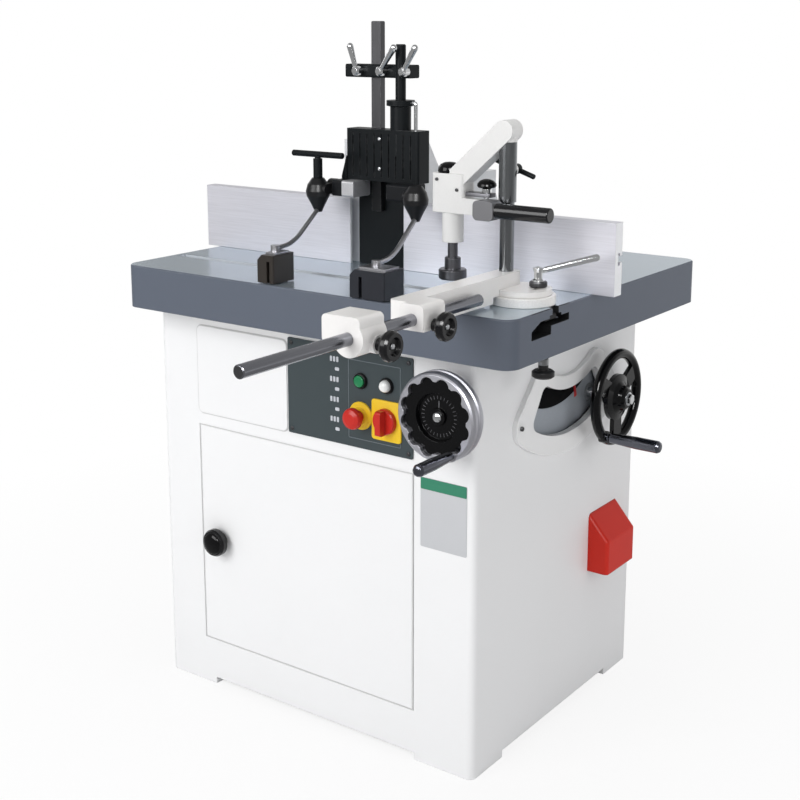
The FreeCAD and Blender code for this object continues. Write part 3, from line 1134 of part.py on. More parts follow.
def arm_mounts():
    """Two blocks under the guard box that carry the hold-down arms."""
    blocks = []
    for x0 in (MOUNT_LEFT, MOUNT_RIGHT - MOUNT_W):
        block = box(x0, x0 + MOUNT_W, MOUNT_Y0, MOUNT_Y1, MOUNT_Z0, BOX_Z0)
        blocks.append(round_edges(block, X_AXIS, 4.0))
    return Part.makeCompound(blocks)


def cross_bar():
    """Clamp bar across the guide bar, with the rod that runs down into the cylinder."""
    bar = box(CROSS_X0, CROSS_X1, CROSS_Y0, CROSS_Y1, CROSS_Z0, CROSS_Z0 + CROSS_H)
    bar = round_edges(bar, X_AXIS, 4.0)
    rod = cyl_z(CYL_X, CYL_Y, ROD_R, BOX_Z1 + 8, CROSS_Z0 + CROSS_H + ROD_ABOVE)
    rod = rod.makeChamfer(2.0, [e for e in rod.Edges if isinstance(e.Curve, Part.Circle)])
    return fuse(bar.cut(guide_bar_hole(CROSS_Z0, CROSS_Z0 + CROSS_H)), rod)


def clamp_lever(x, reach_x, reach_z):
    """Ratchet lever with its hub on the front of the cross bar."""
    y1 = CROSS_Y0 - SLIDE_FIT
    z = CROSS_Z0 + CROSS_H / 2
    hub = revolve([(0, 0), (LEVER_HUB_R, 0), (LEVER_HUB_R, LEVER_HUB_L - 4), (LEVER_HUB_R - 3, LEVER_HUB_L),
                   (0, LEVER_HUB_L)], Vector(x, y1, z), Vector(0, -1, 0))
    start = Vector(x, y1 - LEVER_HUB_L + 7, z)
    along = Vector(reach_x, -8, reach_z)
    arm = Part.makeCone(LEVER_ARM_R - 1, LEVER_ARM_R + 1.5, along.Length, start, along)
    tip = Part.makeSphere(LEVER_ARM_R + 1.5, start + along)
    return fuse(hub, arm, tip)


def lever_left():
    return clamp_lever(CROSS_X0 + LEVER_LEFT, -8.0, 46.0)


def lever_mid():
    return clamp_lever(BAR_X + LEVER_MID, 38.0, 44.0)


def lever_right():
    return clamp_lever(CROSS_X1 - LEVER_END, 33.0, 44.0)


def knuckle(side, pear_x):
    """Pivot disc at the mount, and the pear-shaped clamp body that holds the wire."""
    face = MOUNT_LEFT if side < 0 else MOUNT_RIGHT
    d0 = face + min(side * SLIDE_FIT, side * (SLIDE_FIT + KNUCKLE_DISC_T))
    disc = cyl_x(HOLD_PIVOT_Y, HOLD_PIVOT_Z, KNUCKLE_DISC_R, d0, d0 + KNUCKLE_DISC_T)
    y = pear_y()
    z0 = HOLD_PIVOT_Z - KNUCKLE_H * 0.72
    k = KNUCKLE_R
    profile = [(0, 0), (k * 0.3, 0), (k * 0.55, KNUCKLE_H * 0.2), (k * 0.95, KNUCKLE_H * 0.48),
               (k, KNUCKLE_H * 0.62), (k * 0.85, KNUCKLE_H * 0.82), (k * 0.5, KNUCKLE_H), (0, KNUCKLE_H)]
    pear = revolve(profile, Vector(pear_x, y, z0), Z_AXIS)
    mid_x = d0 + KNUCKLE_DISC_T / 2
    link = capsule(Vector(mid_x - 7, HOLD_PIVOT_Y, HOLD_PIVOT_Z), Vector(mid_x - 7, y, HOLD_PIVOT_Z - 2), 10,
                   Vector(14, 0, 0))
    return fuse(disc, link, pear)


def pear_y():
    return HOLD_PIVOT_Y - KNUCKLE_R - 4


def pear_x(side):
    return MOUNT_LEFT - KNUCKLE_R - 1 if side < 0 else MOUNT_RIGHT + KNUCKLE_R + 1


def shoe(x0, x1, y0, y1, height, slit):
    """Pressure shoe with a sloped lead-in and a slit between its two pads."""
    z0 = TABLE_TOP + SHOE_LIFT
    z1 = z0 + height
    outline = [(x0, z0), (x1, z0), (x1, z1), (x0 + SHOE_LEAD, z1), (x0, z1 - SHOE_LEAD)]
    block = prism([Vector(x, y0, z) for x, z in outline], Vector(0, y1 - y0, 0))
    block = round_edges(block, Z_AXIS, 3.0)
    return block.cut(box(x0 + slit, x0 + slit + SHOE_SLIT, y0 - 1, y1 + 1, z0 - 1, z1 - SHOE_LEAD))


SHOE_LEFT = (-56.0, -16.0, -267.0, -207.0, 52.0)
SHOE_RIGHT = (167.0, 243.0, -276.0, -216.0, 50.0)


def shoe_box(sizes):
    x0, x1, y0, y1, height = sizes
    return x0, x1, FENCE_Y0 + y0, FENCE_Y0 + y1, height


def wire_points(side, sizes):
    """Start, end of the straight drop, start of the level run, and end of a hold-down wire."""
    x0, x1, y0, y1, height = shoe_box(sizes)
    start = Vector(pear_x(side), pear_y(), HOLD_PIVOT_Z - KNUCKLE_H * 0.62)
    end = Vector((x0 + x1) / 2, (y0 + y1) / 2, TABLE_TOP + SHOE_LIFT + height + 4 + WIRE_R)
    flat = Vector(end.x - start.x, end.y - start.y, 0)
    corner = Vector(start.x, start.y, end.z) + flat * 0.6
    return start, start + (corner - start) * 0.7, corner + (end - corner) * 0.5, end


def holddown(side, sizes, slit):
    """Clamp body, drilled for its wire, and the shoe at the wire's end."""
    start, drop, level, end = wire_points(side, sizes)
    along = (drop - start).normalize()
    socket = Part.makeCylinder(WIRE_R + RUN_FIT, 2 * KNUCKLE_R, start - along * 0.5, along)
    return knuckle(side, pear_x(side)).cut(socket), shoe(*shoe_box(sizes), slit)


def holddown_left():
    """Left clamp body, also drilled for the T-handle, and its shoe."""
    body, pads = holddown(-1, SHOE_LEFT, SHOE_SLIT_LEFT)
    body = body.cut(cyl_z(pear_x(-1), pear_y(), T_HANDLE_R + RUN_FIT, HOLD_PIVOT_Z, HOLD_PIVOT_Z + KNUCKLE_H))
    return Part.makeCompound([body, pads])


def holddown_right():
    return Part.makeCompound(holddown(1, SHOE_RIGHT, SHOE_SLIT_RIGHT))


def spring_arm(side, sizes):
    """Bent wire from the clamp body down to a clip plate on the shoe."""
    x0, x1, y0, y1, height = shoe_box(sizes)
    top = TABLE_TOP + SHOE_LIFT + height
    start, drop, level, end = wire_points(side, sizes)
    first = (drop - start).normalize()
    last = (end - level).normalize()
    reach = (level - drop).Length / 2
    bend = (drop + level) / 2 + ((drop + first * reach + level - last * reach) / 2 - (drop + level) / 2) * 0.5
    path = Part.Wire([Part.LineSegment(start, drop).toShape(), Part.Arc(drop, bend, level).toShape(),
                      Part.LineSegment(level, end).toShape()])
    section = Part.Wire(Part.makeCircle(WIRE_R, start, first))
    wire = path.makePipeShell([section], True, False)
    clip = box(x0 + SHOE_LEAD + 2, x1 - 4, y0 + 10, y1 - 10, top, top + 4)
    lug = cyl_z(end.x, end.y, WIRE_R + 4, top, end.z + WIRE_R + 2)
    return fuse(clip, lug, wire)


def spring_left():
    return spring_arm(-1, SHOE_LEFT)


def spring_right():
    return spring_arm(1, SHOE_RIGHT)


def t_handle_left():
    """T-bar screw that locks the left arm."""
    x, y = pear_x(-1), pear_y()
    z = HOLD_PIVOT_Z + 64
    stem = cyl_z(x, y, T_HANDLE_R, HOLD_PIVOT_Z + 2, z)
    collar = cyl_z(x, y, T_HANDLE_R + 3, HOLD_PIVOT_Z + KNUCKLE_H * 0.28 + SLIDE_FIT, z - 8)
    bar = cyl_x(y, z, T_HANDLE_R, x - T_HANDLE_L / 2, x + T_HANDLE_L / 2)
    bar = bar.makeFillet(2.5, [e for e in bar.Edges if isinstance(e.Curve, Part.Circle)])
    return fuse(stem, collar, bar)


def carriage_base():
    """Round base plate with its tee guide in the table slot."""
    disc = cyl_z(CARRIAGE_X, SLOT_Y, DISC_R, DISC_Z0, DISC_Z1)
    disc = disc.makeFillet(2.5, [e for e in disc.Edges if e.BoundBox.ZMin > DISC_Z1 - 0.01])
    x0, x1 = CARRIAGE_X - GUIDE_L / 2, CARRIAGE_X + GUIDE_L / 2
    stem = SLOT_MOUTH / 2 - SLIDE_FIT
    tee = SLOT_TEE / 2 - SLIDE_FIT
    guide = box(x0, x1, SLOT_Y - stem, SLOT_Y + stem, SLOT_FLOOR + SLIDE_FIT, DISC_Z0)
    foot = box(x0, x1, SLOT_Y - tee, SLOT_Y + tee, SLOT_FLOOR + SLIDE_FIT, SLOT_TEE_TOP - SLIDE_FIT)
    stud = cyl_z(LOCK_X, LOCK_Y, LOCK_STUD_R, DISC_Z0, PAD_Z1 + 12)
    return fuse(disc, guide, foot, stud)


def mitre_arm():
    """Swivelling arm: round pad with an arc slot, beam under the column and bar boss at the front."""
    pad = cyl_z(CARRIAGE_X, SLOT_Y, PAD_R, PAD_Z0, PAD_Z1)
    rear = SLOT_Y - DISC_R - ARM_END_R
    end = COLUMN_Y + ARM_BEHIND
    outline = [(ARM_Y0, TABLE_TOP + ARM_BOTTOM), (rear, TABLE_TOP + ARM_BOTTOM), (rear, PAD_Z0), (end, PAD_Z0),
               (end, ARM_Z1), (ARM_Y0, ARM_Z1)]
    rail = prism([Vector(ARM_X0, y, z) for y, z in outline], Vector(ARM_W, 0, 0))
    upright = [e for e in rail.Edges if abs(e.Curve.Direction.z) > 0.999 and e.BoundBox.ZMax > ARM_Z1 - 0.01]
    rail = rail.makeFillet(ARM_END_R, upright)
    low = TABLE_TOP + BOSS_BOTTOM
    boss = box(STOP_BAR_X - BOSS_SIDE, STOP_BAR_X + BOSS_SIDE, BOSS_Y0, BOSS_Y0 + BOSS_L, low, ARM_Z1)
    boss = round_edges(boss, Y_AXIS, ARM_END_R)
    foot = box(STOP_BAR_X - BOSS_FOOT, STOP_BAR_X + BOSS_SIDE, BOSS_Y0, BOSS_Y0 + BOSS_L,
               low, low + BOSS_FOOT_H)
    body = fuse(pad, rail, boss, foot)
    slot_r = math.hypot(LOCK_SIDE, LOCK_BACK)
    lock_deg = math.degrees(math.atan2(LOCK_BACK, LOCK_SIDE))
    cuts = [cyl_y(STOP_BAR_X, STOP_BAR_Z, BAR_R + RUN_FIT, BOSS_Y0 - 1, BOSS_Y0 + BOSS_L + 1),
            cyl_x(BOSS_Y0 + BOSS_L / 2, STOP_BAR_Z - BAR_R, KNOB_SCREW_R + RUN_FIT,
                  STOP_BAR_X, STOP_BAR_X + BOSS_SIDE + 1)]
    width = LOCK_STUD_R + 1.0
    band = Part.makeCylinder(slot_r + width, PAD_T + 2, Vector(CARRIAGE_X, SLOT_Y, PAD_Z0 - 1), Z_AXIS,
                             SWIVEL_MAX_DEG - SWIVEL_MIN_DEG)
    band = band.cut(cyl_z(CARRIAGE_X, SLOT_Y, slot_r - width, PAD_Z0 - 2, PAD_Z1 + 2))
    band.rotate(Vector(CARRIAGE_X, SLOT_Y, 0), Z_AXIS, lock_deg - SWIVEL_MAX_DEG)
    cuts.append(band)
    for deg in (lock_deg - SWIVEL_MAX_DEG, lock_deg - SWIVEL_MIN_DEG):
        a = math.radians(deg)
        cuts.append(cyl_z(CARRIAGE_X + slot_r * math.cos(a), SLOT_Y + slot_r * math.sin(a), width,
                          PAD_Z0 - 1, PAD_Z1 + 1))
    return body.cut(Part.makeCompound(cuts))


def lock_lever():
    """Ratchet lever that locks the mitre arm on its base."""
    z0 = PAD_Z1 + SLIDE_FIT
    hub = revolve([(LOCK_STUD_R + RUN_FIT, 0), (LOCK_R, 0), (LOCK_R, 12), (LOCK_R - 3, 15), (LOCK_R - 3, 26),
                   (LOCK_R - 1, 34), (0, 36), (0, 13), (LOCK_STUD_R + RUN_FIT, 13)],
                  Vector(LOCK_X, LOCK_Y, z0), Z_AXIS)
    a = math.radians(LOCK_DEG)
    along = Vector(LOCK_ARM * math.cos(a), LOCK_ARM * math.sin(a), 22)
    start = Vector(LOCK_X, LOCK_Y, z0 + 27)
    arm = Part.makeCone(5.0, 6.5, along.Length, start, along)
    tip = Part.makeSphere(6.5, start + along)
    return fuse(hub, arm, tip)


def slide_bar():
    """Round stop bar that runs out over the front of the table."""
    bar = cyl_y(STOP_BAR_X, STOP_BAR_Z, BAR_R, STOP_BAR_Y0, STOP_BAR_Y0 + BAR_L)
    return bar.makeChamfer(1.5, [e for e in bar.Edges if isinstance(e.Curve, Part.Circle)])


def stop_block():
    """Sliding stop on the bar: stop plate, round body and a flat for the knob."""
    y1 = STOP_Y0 + STOP_L
    plate = box(STOP_BAR_X - STOP_LEFT, STOP_BAR_X + STOP_SIDE, STOP_Y0, y1,
                TABLE_TOP + STOP_BOTTOM, TABLE_TOP + STOP_TOP)
    plate = round_edges(plate, Y_AXIS, ARM_END_R)
    lobe = cyl_y(STOP_BAR_X, STOP_BAR_Z, STOP_LOBE_R, STOP_Y0, y1)
    face = cyl_x(stop_knob_y(), STOP_BAR_Z - BAR_R, STOP_FACE_R, STOP_BAR_X, STOP_BAR_X + STOP_FACE)
    block = fuse(plate, lobe, face)
    cuts = [cyl_y(STOP_BAR_X, STOP_BAR_Z, BAR_R + RUN_FIT, STOP_Y0 - 1, y1 + 1),
            cyl_x(stop_knob_y(), STOP_BAR_Z - BAR_R, KNOB_SCREW_R + RUN_FIT,
                  STOP_BAR_X, STOP_BAR_X + STOP_FACE + 1)]
    return block.cut(Part.makeCompound(cuts))


def stop_knob_y():
    return STOP_Y0 + STOP_L * 0.6


def clamp_knob(face_x, y):
    """Round hand knob with a hollow face, screwed in from the right."""
    r, n = KNOB_R, KNOB_NECK
    t = n + KNOB_T
    profile = [(0, -10), (KNOB_SCREW_R, -10), (KNOB_SCREW_R, 0.4), (r * 0.45, 0.4), (r * 0.45, n),
               (r * 0.5, n + 5), (r * 0.9, n + 7), (r, n + 11), (r, t - 4), (r * 0.88, t), (r * 0.62, t),
               (r * 0.5, t - 6), (r * 0.22, t - 7), (0, t - 7)]
    return revolve(profile, Vector(face_x, y, STOP_BAR_Z - BAR_R), X_AXIS)


def stop_knob():
    return clamp_knob(STOP_BAR_X + STOP_FACE, stop_knob_y())


def arm_knob():
    return clamp_knob(STOP_BAR_X + BOSS_SIDE, BOSS_Y0 + BOSS_L / 2)


def column():
    """Clamp column on the swivelling arm."""
    post = cyl_z(COLUMN_X, COLUMN_Y, COLUMN_R, ARM_Z1, COLLAR_Z1 - 8)
    return post.makeChamfer(1.5, [e for e in post.Edges if e.BoundBox.ZMin > COLLAR_Z1 - 8.01])


def clamp_arm():
    """Cast clamp arm: thin sleeve on the column, sloping arm, plunger head and handle lug."""
    front = COLUMN_Y - CLAMP_ARM_T / 2
    high = Vector(COLUMN_X, front, COLLAR_Z1 - CLAMP_ARM_R)
    low = Vector(HEAD_X + CLAMP_ARM_R * 0.6, front, HEAD_Z1 - CLAMP_ARM_R * 0.6)
    arm = capsule(high, low, CLAMP_ARM_R, Vector(0, CLAMP_ARM_T, 0))
    collar = cyl_z(COLUMN_X, COLUMN_Y, COLLAR_R, COLLAR_Z1 - COLLAR_H, COLLAR_Z1 - CLAMP_ARM_R)
    screw = cyl_y(COLUMN_X, TOMMY_Z, COLUMN_R - 3, COLUMN_Y, COLUMN_Y + COLLAR_R + TOMMY_BOSS)
    head = box(HEAD_X - HEAD_W / 2, HEAD_X + HEAD_W / 2, COLUMN_Y - HEAD_D / 2, COLUMN_Y + HEAD_D / 2,
               HEAD_Z0, HEAD_Z1)
    head = round_edges(head, Z_AXIS, 8.0)
    sleeve = cyl_z(HEAD_X, COLUMN_Y, SLEEVE_R, HEAD_Z0 - SLEEVE_H, HEAD_Z0)
    lug = capsule(Vector(HEAD_X, LUG_Y0, HANDLE_PIVOT_Z), Vector(HANDLE_X, LUG_Y0, HANDLE_PIVOT_Z), LUG_T,
                  Vector(0, LUG_T, 0))
    body = fuse(arm, collar, screw, head, sleeve, lug)
    bores = [cyl_z(COLUMN_X, COLUMN_Y, COLUMN_R + RUN_FIT, 0, COLLAR_Z1 - 8),
             cyl_z(HEAD_X, COLUMN_Y, PLUNGER_R + RUN_FIT, 0, HEAD_Z1 - 10),
             cyl_y(HANDLE_X, HANDLE_PIVOT_Z, HANDLE_PIN_R + RUN_FIT, LUG_Y0 - 1, LUG_Y0 + LUG_T + 1)]
    return body.cut(Part.makeCompound(bores))


def clamp_handle():
    """Eccentric block on its pin, with a tubular grip."""
    y1 = LUG_Y0 - SLIDE_FIT
    block = box(HANDLE_X - 14, HANDLE_X - 14 + BLOCK_W, y1 - BLOCK_D, y1, HANDLE_PIVOT_Z - BLOCK_H / 2,
                HANDLE_PIVOT_Z + BLOCK_H / 2)
    block = round_edges(block, Y_AXIS, 9.0)
    pin = cyl_y(HANDLE_X, HANDLE_PIVOT_Z, HANDLE_PIN_R, y1, LUG_Y0 + LUG_T + 4)
    x0 = HANDLE_X - 14 + BLOCK_W
    grip = cyl_x(y1 - BLOCK_D / 2, HANDLE_PIVOT_Z, GRIP_R, x0 - 2, x0 + GRIP_L)
    grip = grip.makeFillet(2.5, [e for e in grip.Edges if e.BoundBox.XMin > x0 + GRIP_L - 0.01])
    return fuse(block, pin, grip)


def plunger():
    """Pressure rod with a stepped foot."""
    z0 = TABLE_TOP + FOOT_CLEAR
    r, c = FOOT_R, FOOT_COLLAR_R
    z1 = z0 + FOOT_H
    z2 = z1 + FOOT_COLLAR_H
    profile = [(0, z0), (r * 0.93, z0), (r, z0 + 2), (r, z1 - 2), (r * 0.93, z1), (c, z1), (c, z2 - 1.5),
               (c - 1.5, z2), (PLUNGER_R, z2), (PLUNGER_R, HEAD_Z1 - 34), (0, HEAD_Z1 - 34)]
    return revolve(profile, Vector(HEAD_X, COLUMN_Y, 0), Z_AXIS)


def column_lever():
    """Tommy-bar screw that clamps the collar on the column."""
    y0 = COLUMN_Y + COLLAR_R + TOMMY_BOSS + SLIDE_FIT
    hub = cyl_y(COLUMN_X, TOMMY_Z, 2 * TOMMY_R, y0, y0 + 3 * TOMMY_R)
    lean = Vector(0.95, 0, -0.31).normalize()
    middle = Vector(COLUMN_X, y0 + 1.6 * TOMMY_R, TOMMY_Z)
    bar = Part.makeCylinder(TOMMY_R, TOMMY_L, middle - lean * (TOMMY_L * 0.56), lean)
    bar = bar.makeFillet(2.0, [e for e in bar.Edges if isinstance(e.Curve, Part.Circle)])
    return fuse(hub, bar)


PIECES = [cabinet_shell, cabinet_back, upper_cover, control_panel, start_button, stop_button,
          main_switch_knob, door, door_hinges, latch_knob, slot_bezel, inlet_hood, table, table_ring,
          slide_stop_knob, tilt_brackets, tilt_shaft, tilt_handwheel, tilt_wheel_insert, tilt_grip, cradle,
          rise_shaft, rise_handwheel, rise_grip, quill, motor_bracket, motor, motor_pulley, drive_belt,
          spindle, spindle_pulley, arbor_collars, fence_left, fence_right, cutter_hood, guard_mast,
          guide_bar, guard_box, arm_mounts, cross_bar, lever_left, lever_mid, lever_right, holddown_left,
          holddown_right, spring_left, spring_right, t_handle_left, carriage_base, mitre_arm, lock_lever,
          slide_bar, stop_block, stop_knob, arm_knob, column, clamp_arm, clamp_handle, plunger, column_lever]


def main():
    os.makedirs("parts", exist_ok=True)
    for piece in PIECES:
        piece().exportStep("parts/" + piece.__name__ + ".step")


main()
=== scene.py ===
"""Finishes, small fittings, studio light and camera for the spindle moulder.

Metres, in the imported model's frame: +Z up, +X to the operator's right, +Y away from them.
"""

import math

import bmesh
import bpy
from mathutils import Matrix, Vector


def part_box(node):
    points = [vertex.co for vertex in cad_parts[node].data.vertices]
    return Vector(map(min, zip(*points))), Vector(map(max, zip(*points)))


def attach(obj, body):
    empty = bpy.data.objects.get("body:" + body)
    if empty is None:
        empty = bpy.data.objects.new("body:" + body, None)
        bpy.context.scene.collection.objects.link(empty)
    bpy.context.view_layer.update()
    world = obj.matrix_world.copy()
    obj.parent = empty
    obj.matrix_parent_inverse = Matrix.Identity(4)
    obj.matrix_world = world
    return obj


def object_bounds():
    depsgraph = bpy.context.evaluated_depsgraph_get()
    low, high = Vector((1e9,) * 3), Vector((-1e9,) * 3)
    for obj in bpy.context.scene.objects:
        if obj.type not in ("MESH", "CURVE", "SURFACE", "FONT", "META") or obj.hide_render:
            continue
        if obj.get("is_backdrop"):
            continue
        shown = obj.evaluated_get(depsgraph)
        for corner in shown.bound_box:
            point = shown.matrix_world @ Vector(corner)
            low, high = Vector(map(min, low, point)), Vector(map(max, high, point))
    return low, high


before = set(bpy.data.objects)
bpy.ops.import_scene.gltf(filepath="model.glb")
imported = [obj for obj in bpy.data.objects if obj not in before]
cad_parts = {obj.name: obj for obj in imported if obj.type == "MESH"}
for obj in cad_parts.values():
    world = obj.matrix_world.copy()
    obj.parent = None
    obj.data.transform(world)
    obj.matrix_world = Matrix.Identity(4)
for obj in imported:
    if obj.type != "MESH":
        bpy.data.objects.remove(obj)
CAD_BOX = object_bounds()

FIXED = "machine_frame"
FRONT = Vector((0, -1, 0))
BACK = Vector((0, 1, 0))
RIGHT = Vector((1, 0, 0))
UP = Vector((0, 0, 1))

# Camera
CAMERA_PLACE = (1.58992, -2.18931, 1.35814)
CAMERA_TURN_DEG = (78.39, 0.0, 36.04)
CAMERA_LENS = 60.43
CAMERA_SHIFT_Y = -0.125

# Light: what the room gives to matt surfaces, and its level in polished ones away from the backdrop
AMBIENT_LEVEL = 0.44
ROOM_LEVEL = 0.30
BACKDROP_FROM = 0.65
LAMPS = (  # name, place, size, watts, aim
    ("key", (-0.9, -3.8, 2.3), 2.6, 100.0, (0.0, 0.0, 0.55)),
    ("side", (3.8, -0.8, 1.3), 2.2, 28.0, (0.2, 0.0, 0.5)),
    ("glint", (2.4, -3.2, 2.9), 1.4, 120.0, (0.2, 0.0, 0.7)),
    ("top", (0.2, 0.6, 4.2), 2.6, 34.0, (0.0, 0.0, 0.8)),
    ("rim", (-3.4, 1.2, 2.2), 1.8, 14.0, (0.0, 0.0, 0.7)))
LAMPS_IN_GLOSS = ("key", "glint", "rim")
LAMP_IN_GLOSS_ALONE = "glint"

# Floor: a dark patch under the cabinet, then a ring that pales outwards
FLOOR_SIZE = 16.0
FLOOR_CORNER = 3.0
FLOOR_T = 0.02
FLOOR_DEPTH = 5.0
PATCH_HALVES = (("X", 0.375), ("Y", 0.300))
PATCH_FADE = 0.06
PALE_RADII = (0.55, 1.7)
PALE_LEVELS = (0.86, 1.0)

# Control panel
PANEL_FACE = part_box("control_panel")[0][1]
BUTTON_COLUMN = 0.136
LAMP_COLUMN = 0.195
BUTTON_HIGH = 0.720
BUTTON_LOW = 0.654
PANEL_FRAME_MIDDLE = (0.166, PANEL_FACE, 0.6825)
PANEL_FRAME_SIZE = (0.118, 0.149)
PANEL_FRAME_LINE = 0.0014
MARK_TOP = 0.752
MARK_PITCH = 0.0385
MARK_COLUMNS = (0.066, 0.0735, 0.081)
MARK_BELOW = (0.080, 0.0185)
PANEL_SCREW_XS = (-0.031, 0.243)
PANEL_SCREW_ZS = (0.600, 0.769)
PRINT_T = 0.0003

# Front of the cabinet
CAB_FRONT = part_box("cabinet_shell")[0][1]
DATA_PLATE_X = 0.318
DATA_PLATE_Z = 0.497
DATA_PLATE_T = 0.0008
DATA_BAND_Z = 0.5517
# Grey strips in the seams round the door and the upper cover: painted shade, as the seams' shadow lines
SEAM_SHADE_W = 0.002
SEAM_SHADE_SETBACK = 0.003
COVER_SHADE_GAP = 0.0002
COVER_SHADE_T = 0.0012
COVER_CORNER = 0.0122
LATCH_CAP_SINK = 0.002
LIP_PLACE = (-0.161, CAB_FRONT, 0.792)

# Table, its tee slot and the pocket in its right end
TABLE_LOW, TABLE_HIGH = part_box("table")
TABLE_TOP = TABLE_HIGH[2]
SLOT_Y_SPAN = (-0.2495, -0.2265)
# Depth of the slot's walls that carry painted light
SLOT_MOUTH_DEPTH = 0.0125
# Pocket in the table's right end, whose walls carry painted shade
POCKET_Y_SPAN = (-0.3175, -0.1905)
POCKET_HEIGHT = 0.0455
POCKET_DEPTH = 0.0305
SKIN = 0.0004
SLOT_STOP_SETBACK = 0.0015
SLOT_STOP_L = 0.014

# Front wheel's dial
DIAL_SETBACK = 0.0082
DIAL_BOSS_SETBACK = 0.003

# Tilt: the cradle swings about this line, along X, and the slot in the cabinet's side follows it
PIVOT_Y = 0.009
PIVOT_Z = 0.870
SLOT_PLATE_X = 0.371
SLOT_PLATE_T = 0.003
# Where the grey plate meets the black sheet of painted shade in the slot's upper part
SLOT_PART_FRONT = 0.236
SLOT_PART_BACK = 0.212
SLOT_PLATE_OUT = 0.285
SLOT_SHADE_IN = 0.186
PART_FRONT_DEG = -26.7
PLATE_FRONT_DEG = -29.9
SHADE_FRONT_DEG = -21.6
SLOT_BACK_DEG = 33.0
POINTER_DEG = 14.0
BEZEL_SCREW_R = 0.293
BEZEL_SCREW_DEG = 38.4

# Guard: where its finishes part, and its fittings
GUIDE_PAINT_TOP = 1.0625
MOUNT_STEEL_X_SPAN = (-0.022, 0.040)
SHOE_TOP = 0.970
GUARD_FACE = -0.136
GUARD_SCREW_X = 0.047
GUARD_SCREW_ZS = (1.1435, 1.0868)
GUSSET_Y = -0.114
STRAP_Y = -0.1175
STRAP_X = 0.1195
STRAP_FOOT = 1.160
STRAP_DROP = 0.005

# Carriage and its clamp
COLUMN_PLACE = (0.3925, -0.231)
COLLAR_R = 0.0157
COLLAR_TOP = 1.1625
GRIP_FROM_X = 0.3942
STOP_STEM_FROM_Z = 0.779
HEAD_TOP_DROP = 0.097
BRACKET_X = 0.339
BRACKET_Z = 1.0655
HEAD_KNOB_X = 0.352
HEAD_KNOB_Z = 1.0725
HEAD_SCREWS = ((0.260, 1.092), (0.302, 1.0757))
HEAD_SCREW_REACH = 0.020
LOCK_AXIS = (0.451, -0.221)
KNOB_SCREW_SETBACK = 0.0072

# Back and inside
BACK_SCREW_INSET = 0.012
HOOD_BOLT_Y = -0.073
HOOD_BOLT_XS = (-0.148, 0.180)
HOOD_BOLT_ZS = (0.915, 0.985)
MOTOR_AXIS = (0.016, 0.184)
RIB_RISE = 0.030


# Node helpers

def feed(tree, socket, value):
    """Link a socket to another, or set its value."""
    if isinstance(value, bpy.types.NodeSocket):
        tree.links.new(value, socket)
    else:
        socket.default_value = value


def add(tree, kind, **values):
    """Add a node: values that name a property set it, and the rest feed its sockets."""
    node = tree.nodes.new(kind)
    for key, value in values.items():
        if not isinstance(value, bpy.types.NodeSocket) and hasattr(node, key):
            setattr(node, key, value)
        else:
            feed(tree, node.inputs[key.replace("_", " ")], value)
    return node


def math_node(tree, operation, first, second=0.0, clamp=False):
    node = add(tree, "ShaderNodeMath", operation=operation, use_clamp=clamp)
    feed(tree, node.inputs[0], first)
    feed(tree, node.inputs[1], second)
    return node.outputs[0]


def product(tree, first, second, clamp=False):
    return math_node(tree, "MULTIPLY", first, second, clamp)


def remap(tree, value, low, high, to_low=0.0, to_high=1.0):
    return add(tree, "ShaderNodeMapRange", Value=value, From_Min=low, From_Max=high, To_Min=to_low,
               To_Max=to_high).outputs["Result"]


def chosen(tree, factor, first, second):
    """The first value where the factor is 0, and the second where it is 1."""
    node = add(tree, "ShaderNodeMix", data_type="FLOAT", Factor=factor)
    feed(tree, node.inputs[2], first)
    feed(tree, node.inputs[3], second)
    return node.outputs[0]


def mixed(tree, factor, first, second):
    """The first colour where the factor is 0, and the second where it is 1."""
    node = add(tree, "ShaderNodeMix", data_type="RGBA", Factor=factor)
    for socket, colour in zip(node.inputs[6:8], (first, second)):
        feed(tree, socket, (*colour, 1.0) if isinstance(colour, tuple) else colour)
    return node.outputs[2]


def shaded(tree, colour, shade):
    """A colour made lighter or darker by a shade near 1."""
    tint = add(tree, "ShaderNodeVectorMath", operation="SCALE", Scale=shade)
    tint.inputs[0].default_value = colour
    return tint.outputs["Vector"]


def noise(tree, vector, scale, detail=3.0):
    return add(tree, "ShaderNodeTexNoise", Vector=vector, Scale=scale, Detail=detail).outputs["Fac"]


def object_place(tree):
    return tree.nodes.new("ShaderNodeTexCoord").outputs["Object"]


def place_part(tree, axis):
    """One part of the place on the piece."""
    return add(tree, "ShaderNodeSeparateXYZ", Vector=object_place(tree)).outputs[axis]


def facing_part(tree, axis):
    """One part of the direction that the surface faces."""
    normal = tree.nodes.new("ShaderNodeTexCoord").outputs["Normal"]
    return add(tree, "ShaderNodeSeparateXYZ", Vector=normal).outputs[axis]


def bumped(tree, height, strength, distance, normal):
    return add(tree, "ShaderNodeBump", Height=height, Strength=strength, Distance=distance,
               Normal=normal).outputs["Normal"]


# Shader groups shared by several finishes

def new_group(name, outputs, **inputs):
    """A group whose inputs start at the given values."""
    tree = bpy.data.node_groups.new(name, "ShaderNodeTree")
    for label, value in inputs.items():
        kind = "NodeSocketVector" if isinstance(value, tuple) else "NodeSocketFloat"
        tree.interface.new_socket(label, in_out="INPUT", socket_type=kind).default_value = value
    for label in outputs:
        kind = "NodeSocketVector" if label == "Normal" else "NodeSocketFloat"
        tree.interface.new_socket(label, in_out="OUTPUT", socket_type=kind)
    return tree, tree.nodes.new("NodeGroupInput").outputs, tree.nodes.new("NodeGroupOutput").inputs


def shade_near_one(tree, value, contrast):
    swing = product(tree, math_node(tree, "SUBTRACT", value, 0.5), contrast)
    return math_node(tree, "ADD", product(tree, swing, 2.0), 1.0)


